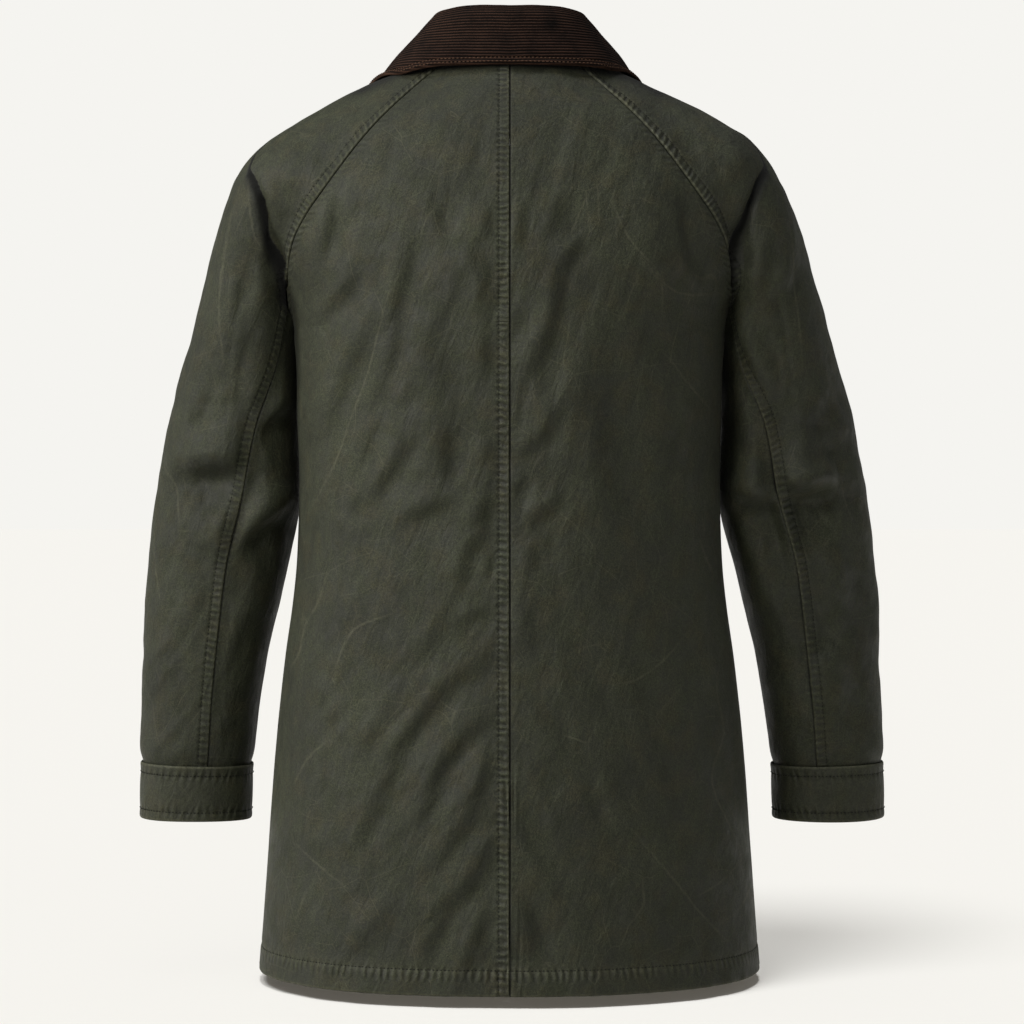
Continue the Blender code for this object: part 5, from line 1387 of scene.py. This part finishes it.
# degrees round from the back, the stand's height, how far the roll is out, the edge's way out and drop, bulge
COLLAR = np.array(
    [
        (0, 43.0, 0.5, 13.0, 9.0, 1.5), (30, 43.0, 0.5, 16.0, 9.0, 1.5), (60, 37.0, 1.0, 30.0, 9.0, 2.0),
        (90, 25.0, 4.0, 44.0, 13.0, 2.5), (120, 22.0, 4.0, 43.0, 46.0, 2.0),
        (150, 20.0, 3.0, 34.0, 97.0, 1.0), (174, 18.0, 2.0, 24.0, 118.0, 1.5),
    ]
)
COLLAR_WALL = 2.0
COLLAR_CLEARANCE = 2.0
COLLAR_END_ANGLE = 174.0
ROLL_RADIUS = 4.5
WALE_PITCH = 2.72
WALE_RISE = 0.62
FLY_HALF_WIDTH = 30.0
FLY_WALL = 2.0
FLY_BASE_LIFT = 1.4  # above the fronts, clear of their hems
FLY_SIDE_REACH = 6.0  # the collar is lifted over the fly and this much beside it
COLLAR_EDGE_STITCH, COLLAR_OUTER_STITCH = 6.2, 2.4  # how far the rows of stitches are from the edge
COLLAR_SECTIONS, FALL_STEPS = 49, 31  # of the coarse surface: sections round it, and points down each fall
COLLAR_COLUMNS, STAND_ROWS, FALL_ROWS = 233, 12, 133  # of the fine one
MEASURED_ROW = 60  # the row along which places round the collar are measured
REACHING = (9.0, 0.0, -5.5)  # the fall reaches this much farther over the left shoulder than over the right


def collar_section(angle, arm, steps):
    """The collar's middle line at one angle: up the stand, over the roll and down the fall."""
    sizes = smooth_rows(COLLAR[:, 0], COLLAR[:, 1:], np.array([abs(angle)]))[0]
    stand_height, roll_out, edge_out, edge_drop, bulge = sizes
    seam = neck_line(arm, np.array([abs(angle)]))[0]
    turn = math.radians(abs(angle))
    direction = np.array([math.sin(turn), math.cos(turn)])
    seam_out = math.hypot(seam[0], seam[1])
    foot = np.array([seam_out - COLLAR_WALL / 2, seam[2] + 0.4])
    roll = np.array([seam_out + roll_out, seam[2] + stand_height])
    edge = np.array([seam_out + edge_out, -edge_drop])
    bend = roll + np.array([ROLL_RADIUS, -ROLL_RADIUS * 0.5])
    crown = roll + np.array([0.0, ROLL_RADIUS * 0.4])
    before = roll + np.array([-ROLL_RADIUS, -ROLL_RADIUS])
    middle = (bend + edge) / 2 + bulge
    controls = np.array([foot, (foot + before) / 2 + np.array([-1.0, 0]), before, crown, bend, middle, edge])
    length = running_length(controls)
    fine = smooth_rows(length, controls, np.linspace(0, length[-1], 160))
    fine_length = running_length(fine)
    top = fine_length[np.argmax(fine[:, 1])]
    stand = np.linspace(0, top, 6)[:-1]
    fall = np.linspace(top, fine_length[-1], steps)
    at = np.concatenate([stand, fall])
    line = np.stack([np.interp(at, fine_length, fine[:, axis]) for axis in range(2)], axis=1)
    return direction, line, len(stand)


def lifted_off(points, arms):
    """The collar's fall, moved out wherever it would be closer to the jacket than it may."""
    result = points.copy()
    for side in (1, -1):
        chosen = points[:, :, 0] * side >= 0
        place = points[chosen] * np.array([side, 1, 1])
        over_fly = (np.abs(place[:, 0]) < FLY_HALF_WIDTH + FLY_SIDE_REACH) & (place[:, 1] < 0)
        needed = COLLAR_WALL / 2 + COLLAR_CLEARANCE + np.where(over_fly, FLY_BASE_LIFT + FLY_WALL, 0.0)
        for _ in range(4):
            gap = form_gap(place, arms[side])
            slope = slope_of(place, lambda p: form_gap(p, arms[side]))
            steep = np.maximum(np.linalg.norm(slope, axis=1), 0.3)
            short = np.maximum(needed - gap / steep, 0)
            place = place + slope / steep[:, None] * short[:, None]
        result[chosen] = place * np.array([side, 1, 1])
    return result


def corduroy_material():
    """Cotton corduroy: cut pile in wales, paler on their backs and nearly black between them, partly the
    pile's own colour and partly painted light and shade.
    """
    material, node = new_material("cotton_corduroy_cut_pile")
    held = node("ShaderNodeAttribute", out="Vector", attribute_name="wale")
    down, to_edge, round_it = node("ShaderNodeSeparateXYZ", (held,), None)
    place = node("ShaderNodeTexCoord", out="Object")
    millimetres = node("ShaderNodeVectorMath", {0: place, "Scale": 1000.0}, operation="SCALE")
    # Each wale is a soft ridge that wanders a little, its pile standing in tufts and lying flat in patches.
    wander = node(NOISE, {"Vector": millimetres, "Scale": 1 / 6, "Detail": 2.0})
    turn = (down, 2 * math.pi / WALE_PITCH, node(MATH, (wander, 0.7), **TIMES))
    turn = node(MATH, turn, **TIMES_PLUS)
    ridge = node(MATH, (node(MATH, (turn,), operation="COSINE"), -0.5, 0.5), **TIMES_PLUS)
    along = (node(MATH, (round_it, 1.6), **TIMES), node(MATH, (down, 0.9), **TIMES), to_edge)
    along = node("ShaderNodeCombineXYZ", along)
    tufts = node(NOISE, {"Scale": 1.0, "Detail": 3.0, "Vector": along})
    patches = node(NOISE, {"Scale": 1 / 18, "Detail": 3.0, "Vector": millimetres})
    pile = node(MATH, (ridge, 1.5), operation="POWER")
    for factor in ((tufts, 3.0, -0.62), (patches, 2.6, -0.38)):
        pile = node(MATH, (pile, node(MATH, factor, **TIMES_PLUS)), **TIMES)
    # The wales' backs are painted lit and the grooves painted in near-black shade, on top of the pile's own
    # tufts and patches.
    lit = node(RANGE, (pile, 0.05, 0.95))
    colour = node(MIX, {0: lit, 6: linear("#080504"), 7: linear("#453026")}, **COLOURS)
    # Paler along the collar's folded edge: rubbed pile and a painted highlight.
    edge = node(RANGE, (to_edge, 0.0, 1.4, 0.4, 0.0), **SMOOTH)
    colour = node(MIX, {0: edge, 6: colour, 7: linear("#5C4233")}, **COLOURS)
    height = node(MATH, (ridge, 0.35, node(MATH, (tufts, 0.3), **TIMES)), **TIMES_PLUS)
    shader = node(
        "ShaderNodeBsdfPrincipled",
        {
            "Base Color": colour,
            "Roughness": 0.92,
            "Normal": node("ShaderNodeBump", {"Strength": 1.0, "Distance": 0.001, "Height": height}),
            "Specular IOR Level": 0.15,
            "Sheen Weight": 0.04,
            "Sheen Roughness": 0.45,
            "Sheen Tint": linear("#8A6650"),
        },
    )
    node("ShaderNodeOutputMaterial", {"Surface": shader}, None)
    return material


# Cotton corduroy, its pile cut and brushed.
brown_corduroy = corduroy_material()
coarse = []
for angle in np.linspace(-COLLAR_END_ANGLE, COLLAR_END_ANGLE, COLLAR_SECTIONS):
    side = 1 if angle >= 0 else -1
    direction, section, stand = collar_section(angle, lines[side]["arm"], FALL_STEPS)
    coarse.append([(side * direction[0] * out, direction[1] * out, height) for out, height in section])
coarse = np.array(coarse)
last = coarse.shape[1] - 1
reaching = stepped(coarse[:, :, 0], 60, 118) * stepped(np.arange(last + 1), stand + 2, last)
coarse = coarse + reaching[:, :, None] * np.array(REACHING)
arms = {side: lines[side]["arm"] for side in (1, -1)}
coarse[:, stand + 3 :] = lifted_off(coarse[:, stand + 3 :], arms)
fall_at = np.concatenate([np.linspace(0, stand, STAND_ROWS + 1)[:-1], np.linspace(stand, last, FALL_ROWS)])
grid = np.array([smooth_rows(np.arange(last + 1.0), row, fall_at) for row in coarse])
round_at = np.linspace(0, len(grid) - 1, COLLAR_COLUMNS)
grid = smooth_rows(np.arange(float(len(grid))), grid.reshape(len(grid), -1), round_at)
grid = grid.reshape(COLLAR_COLUMNS, -1, 3)
away_from_neck = grid * np.array([1, 1, 0])
away_from_neck /= np.linalg.norm(away_from_neck, axis=2)[:, :, None]
away_from_neck[:, :STAND_ROWS] *= -1
base = orientation(grid, away_from_neck)
down_fall = np.array([running_length(row) for row in grid])
to_edge = down_fall[:, -1:] - down_fall
down_fall = down_fall - down_fall[:, STAND_ROWS : STAND_ROWS + 1]
round_length = running_length(grid[:, MEASURED_ROW])
soft = unevenness(grid, 1, ((0.5, 40, 5), (0.3, 16, 9)))
wale = WALE_RISE * np.sqrt(np.clip(0.5 - 0.5 * np.cos(2 * np.pi * down_fall / WALE_PITCH), 0, 1))
edge_stitch = -0.7 * np.exp(-(((to_edge - COLLAR_EDGE_STITCH) / 1.1) ** 2))
edge_round = -1.0 * np.exp(-((to_edge / 0.8) ** 2)) + 0.45 * np.exp(-(((to_edge - 2.6) / 2.0) ** 2))
soft = soft * stepped(to_edge, 0, 10)
rise = COLLAR_WALL / 2 + (wale + edge_stitch) * stepped(to_edge, 0.2, 1.2) + edge_round + soft
ends = np.minimum(round_length, round_length[-1] - round_length)[:, None]
rise = rise - 0.9 * np.exp(-((ends / 1.0) ** 2))
outer = grid + base * rise[:, :, None]
inner = grid - base * (COLLAR_WALL / 2 - 0.6 * soft)[:, :, None]
round_it = np.broadcast_to(round_length[:, None], down_fall.shape)
marks = {"wale": np.stack([down_fall, to_edge, round_it], axis=2)}
piece = cloth_mesh("collar_corduroy", outer, inner, brown_corduroy, marks)
collar_paths = []
for from_edge in (COLLAR_OUTER_STITCH, COLLAR_EDGE_STITCH):
    points = []
    for row, normal_row, distance in zip(outer, base, to_edge):
        at = np.interp(-from_edge, -distance, np.arange(len(distance)))
        low_index = int(at)
        part = at - low_index
        point = row[low_index] * (1 - part) + row[low_index + 1] * part
        points.append(point + normal_row[low_index] * 0.25)
    collar_paths.append(np.array(points)[3:-3])
finish_cloth(piece, "collar")

# ---- Front fly and press studs -----------------------------------------------------------------------------
# A plain strip of the same cloth covers the fronts' meeting edges. Six press studs close it: their domed caps
# are antiqued brass, riveted through the strip.

FLY_DROPS = np.linspace(66.0, HEM_DROP - 1.0, 30)
FLY_WIDTH = 2 * FLY_HALF_WIDTH
FLY_STITCH, FLY_STITCH_COLUMN = 5.0, 5  # the stitches' distance from the edge, and their column of the grid
STUD_DROPS = (150.0, 275.0, 400.0, 525.0, 650.0, 770.0)
coarse = []
for x in np.linspace(-FLY_HALF_WIDTH, FLY_HALF_WIDTH, 7):
    arm = arms[1 if x >= 0 else -1]
    level = np.ones(len(FLY_DROPS))
    starts = np.column_stack([abs(x) * level, -FAR_OUT * level, -FLY_DROPS])
    found = first_crossing(starts, [0.0, 1.0, 0.0], lambda p: form_gap(p, arm), 300, 200)
    found[:, 0] = x
    coarse.append(found)
coarse = np.array(coarse).transpose(1, 0, 2)
half_steps = np.array([0.0, 0.4, 1.1, 2.4, 4.2, 5.0, 5.8, 8.0, 12.0, 18.0, 24.0])
across_at = np.concatenate([half_steps, [FLY_HALF_WIDTH], FLY_WIDTH - half_steps[::-1]])
grid = []
for row in coarse:
    length = running_length(row)
    grid.append(smooth_rows(length, row, across_at / FLY_WIDTH * length[-1]))
grid = np.array(grid)
down_keys = running_length(coarse[:, 3])
down_at = dense_places(down_keys[-1], (0.0, 0.5, 1.3, 2.8, 6.0), 3.4)
grid = smooth_rows(down_keys, grid.reshape(len(grid), -1), down_at).reshape(len(down_at), -1, 3)
base = orientation(grid, np.broadcast_to([0.0, -1.0, 0.0], grid.shape))
from_edge = np.broadcast_to(np.minimum(across_at, FLY_WIDTH - across_at), grid.shape[:2])
to_hem = np.broadcast_to((down_at[-1] - down_at)[:, None], grid.shape[:2])
edge_round = -0.8 * np.exp(-((np.minimum(from_edge, to_hem) / 0.5) ** 2))
groove = -0.35 * np.exp(-(((from_edge - FLY_STITCH) / 0.9) ** 2))
soft = 0.5 * uneven(grid, 1, 30, 21) * stepped(from_edge, 0, 8)
lift = FLY_BASE_LIFT + FLY_WALL + edge_round + groove + soft
outer = grid + base * lift[:, :, None]
inner = grid + base * FLY_BASE_LIFT
down_mark = np.broadcast_to(down_at[:, None], grid.shape[:2])
rim = np.exp(-((np.minimum(from_edge, to_hem) / 0.9) ** 2))
marks = {
    "seam_down": puckered(down_mark, from_edge, FLY_STITCH),
    "seam_across": np.zeros(grid.shape),
    "wear": np.stack([0.8 * rim, np.zeros_like(rim), np.full_like(rim, FAR)], axis=2),
}
piece = cloth_mesh("front_fly_cloth", outer, inner, waxed_cotton, marks)
fly_rows = [(outer + base * 0.15)[2:-3, at] for at in (FLY_STITCH_COLUMN, -1 - FLY_STITCH_COLUMN)]
finish_cloth(piece, "front_fly")


def brass_material():
    """Brass, antiqued: brown in the low places and rubbed bright on the dome."""
    material, node = new_material("brass_antiqued")
    place = node("ShaderNodeTexCoord", out="Object")
    spots = node(NOISE, {"Vector": place, "Scale": 900.0, "Detail": 4.0})
    bright = node(RANGE, (spots, 0.35, 0.65))
    inputs = {
        "Base Color": node(MIX, {0: bright, 6: linear("#5B4526"), 7: linear("#A98348")}, **COLOURS),
        "Metallic": 1.0,
        "Roughness": node(RANGE, (spots, 0.3, 0.7, 0.5, 0.28)),
        "Normal": node("ShaderNodeBump", {"Strength": 0.5, "Distance": 0.0001, "Height": spots}),
    }
    node("ShaderNodeOutputMaterial", {"Surface": node("ShaderNodeBsdfPrincipled", inputs)}, None)
    return material


# Stamped brass, antiqued by oxidising and relieving.
antique_brass = brass_material()


def made_by_nodes(name, source, build, material):
    """A mesh object made from another by a node tree, which build fills in and which ends in one material."""
    group = bpy.data.node_groups.new(name, "GeometryNodeTree")
    for in_out in ("INPUT", "OUTPUT"):
        group.interface.new_socket("Geometry", in_out=in_out, socket_type="NodeSocketGeometry")
    entry = add_node(group, "NodeGroupInput", out=None)
    instances, values = build(group, entry)
    real = add_node(group, "GeometryNodeRealizeInstances", (instances,))
    smooth = add_node(group, "GeometryNodeSetShadeSmooth", (real,))
    finish = add_node(group, "GeometryNodeSetMaterial", {0: smooth, "Material": material})
    add_node(group, "NodeGroupOutput", (finish,), None)
    modifier = source.modifiers.new(name, "NODES")
    modifier.node_group = group
    for socket, value in values.items():
        modifier[socket] = value
    bpy.context.view_layer.update()
    evaluated = source.evaluated_get(bpy.context.evaluated_depsgraph_get())
    mesh = bpy.data.meshes.new_from_object(evaluated)
    mesh.name = name
    made = bpy.data.objects.new(name, mesh)
    scene.collection.objects.link(made)
    source.modifiers.remove(modifier)
    bpy.data.objects.remove(source, do_unlink=True)
    return made


def float_input(group, entry, name, value):
    """A named number of the node group: its socket's identifier and its output."""
    socket = group.interface.new_socket(name, in_out="INPUT", socket_type="NodeSocketFloat")
    socket.default_value = value
    return socket.identifier, entry[name]


CAP_SIDES = 28
# the cap's profile from under its edge to its middle: height above the strip and radius
STUD_SECTION = (
    (0.0, 0.4), (0.0, 7.2), (0.3, 7.45), (1.0, 7.6), (1.5, 7.35), (1.75, 6.8), (1.7, 6.3), (1.95, 5.7),
    (2.3, 4.6), (2.55, 3.0), (2.68, 1.4), (2.7, 0.4),
)
FLY_MIDDLE = 11  # the middle column of the strip's grid
middle, middle_out = outer[:, FLY_MIDDLE], base[:, FLY_MIDDLE]
turns = np.linspace(0, 2 * math.pi, CAP_SIDES, endpoint=False)
cap_points = [(r * math.cos(t) * MM, r * math.sin(t) * MM, h * MM) for h, r in STUD_SECTION for t in turns]
rows = np.arange(len(cap_points)).reshape(-1, CAP_SIDES)
cap_faces = []
for low_row, high_row in zip(rows[:-1], rows[1:]):
    cap_faces += np.column_stack([low_row, np.roll(low_row, -1), np.roll(high_row, -1), high_row]).tolist()
cap_faces += [rows[0][::-1].tolist(), rows[-1].tolist()]
cap_mesh = bpy.data.meshes.new("stud_cap")
cap_mesh.from_pydata(cap_points, [], cap_faces)
cap = bpy.data.objects.new("stud_cap", cap_mesh)
scene.collection.objects.link(cap)

seats, outs = [], []
for drop in STUD_DROPS:
    below = int(np.argmax(-middle[:, 2] > drop))
    part = (drop + middle[below - 1, 2]) / (middle[below - 1, 2] - middle[below, 2])
    seats.append((middle[below - 1] * (1 - part) + middle[below] * part) * MM)
    outs.append(middle_out[below])
seat_mesh = bpy.data.meshes.new("stud_seats")
seat_mesh.from_pydata([tuple(seat) for seat in seats], [], [])
held = seat_mesh.attributes.new("out", "FLOAT_VECTOR", "POINT")
held.data.foreach_set("vector", np.array(outs, np.float32).reshape(-1))
seat_object = bpy.data.objects.new("stud_seats", seat_mesh)
scene.collection.objects.link(seat_object)


def caps_on_points(group, entry):
    """A cap on each seat, turned to face outwards."""
    socket, size = float_input(group, entry, "Size", 1.0)
    shape = add_node(group, "GeometryNodeObjectInfo", {"Object": cap}, "Geometry")
    out = add_node(group, "GeometryNodeInputNamedAttribute", {"Name": "out"}, data_type="FLOAT_VECTOR")
    turn = add_node(group, "FunctionNodeAlignRotationToVector", {"Vector": out}, axis="Z")
    inputs = {"Points": entry[0], "Instance": shape, "Rotation": turn, "Scale": size}
    return add_node(group, "GeometryNodeInstanceOnPoints", inputs), {socket: 1.0}


piece = made_by_nodes("press_stud_caps", seat_object, caps_on_points, antique_brass)
bpy.data.objects.remove(cap, do_unlink=True)
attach(piece, "root")
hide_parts(*[f"press_stud_{number}" for number in range(1, 7)])

# ---- Stitches ----------------------------------------------------------------------------------------------
# Lockstitches in stout olive thread, 3.4 mm from one to the next, run along every felled seam, the hem, the
# cuffs and the fly, and in light-brown thread along the collar's edge.


def thread_material(name, dark_code, pale_code):
    """Twisted cotton thread, banded darker and paler along its ply."""
    material, node = new_material(name)
    place = node("ShaderNodeTexCoord", out="Object")
    turned = node("ShaderNodeMapping", {"Vector": place, "Rotation": (0.6, 0.5, 0.7)})
    inputs = {"Vector": turned, "Scale": 900.0, "Distortion": 2.0}
    ply = node("ShaderNodeTexWave", inputs, "Fac", wave_type="BANDS")
    inputs = {
        "Base Color": node(MIX, {0: ply, 6: linear(dark_code), 7: linear(pale_code)}, **COLOURS),
        "Roughness": 0.8,
        "Normal": node("ShaderNodeBump", {"Strength": 0.5, "Distance": 0.0001, "Height": ply}),
        "Specular IOR Level": 0.3,
    }
    node("ShaderNodeOutputMaterial", {"Surface": node("ShaderNodeBsdfPrincipled", inputs)}, None)
    return material


def stitched(name, paths, pitch, length, thickness, material):
    """One object with a stitch at every step along each path, which is a line of points in millimetres."""
    points, edges = [], []
    for path in paths:
        first = len(points)
        points += [tuple(point * MM) for point in path]
        edges += [(index, index + 1) for index in range(first, len(points) - 1)]
    mesh = bpy.data.meshes.new(name + "_path")
    mesh.from_pydata(points, edges, [])
    source = bpy.data.objects.new(name + "_path", mesh)
    scene.collection.objects.link(source)

    def build(group, entry):
        values, given = {}, []
        for label, value in (("Pitch", pitch), ("Length", length), ("Width", thickness)):
            socket, output = float_input(group, entry, label, value * MM)
            values[socket] = value * MM
            given.append(output)
        step, long, wide = given
        curve = add_node(group, "GeometryNodeMeshToCurve", (entry[0],))
        steps = add_node(group, "GeometryNodeResampleCurve", {0: curve, "Length": step}, mode="LENGTH")
        tangent = add_node(group, "GeometryNodeInputTangent")
        turn = add_node(group, "FunctionNodeAlignRotationToVector", {"Vector": tangent}, axis="X")
        vary = add_node(group, "FunctionNodeRandomValue", {2: 0.86, 3: 1.08, "Seed": 7}, 1, data_type="FLOAT")
        long = add_node(group, MATH, (long, vary), **TIMES)
        size = add_node(group, "ShaderNodeCombineXYZ", (long, wide, wide))
        bead = add_node(group, "GeometryNodeMeshIcoSphere", {"Radius": 0.5, "Subdivisions": 1})
        inputs = {"Points": steps, "Instance": bead, "Rotation": turn, "Scale": size}
        return add_node(group, "GeometryNodeInstanceOnPoints", inputs), values

    made = made_by_nodes(name, source, build, material)
    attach(made, "root")
    return made


# Olive cotton-wrapped polyester thread, waxed with the cloth. It is drawn nearly black, darker than the
# thread, as painted shade of the stitch holes.
olive_thread = thread_material("polycotton_thread_waxed", "#0F100B", "#20211A")
# Light-brown polyester thread, as spun.
brown_thread = thread_material("polyester_thread_spun", "#4C3526", "#735540")

LAID = 0.12  # stitches lie this far above the groove they draw
PITCH, STITCH = 3.4, 2.2  # from one stitch to the next, and the length of each that shows
HEM_STITCH_ROW = -10  # of the panels' grids
body_paths = []
for side in (1, -1):
    outer, normal = lines[side]["back_surface"]
    laid = outer + normal * LAID
    if side > 0:
        body_paths.append(laid[:-4, STITCH_COLUMN])
    armhole_row = int(np.argmax(-outer[:, -1, 2] > ARMHOLE_STATION_DROP + ARMHOLE_DIP + 12))
    body_paths.append(laid[armhole_row:-4, -1 - STITCH_COLUMN])
    for surface in ("back_surface", "front_surface"):
        outer, normal = lines[side][surface]
        body_paths.append((outer + normal * LAID)[HEM_STITCH_ROW, 1:-1])
stitched("stitches_body", body_paths, PITCH, STITCH, 1.0, olive_thread)

sleeve_paths = []
for side in (1, -1):
    outer, normal = lines[side]["outer_surface"]
    last = int(np.argmax(lines[side]["outer_to_end"][:, 0] < 16))
    for column in (STITCH_COLUMN, -1 - STITCH_COLUMN):
        sleeve_paths.append((outer + normal * LAID)[1:last, column])
    for ring in lines[side]["cuff_rows"]:
        sleeve_paths.append(np.vstack([ring, ring[:1]]))
stitched("stitches_sleeves", sleeve_paths, PITCH, STITCH, 0.95, olive_thread)
stitched("stitches_fly", fly_rows, PITCH, 2.5, 0.62, olive_thread)
piece = stitched("stitches_collar", collar_paths, 3.8, 2.8, 1.0, brown_thread)
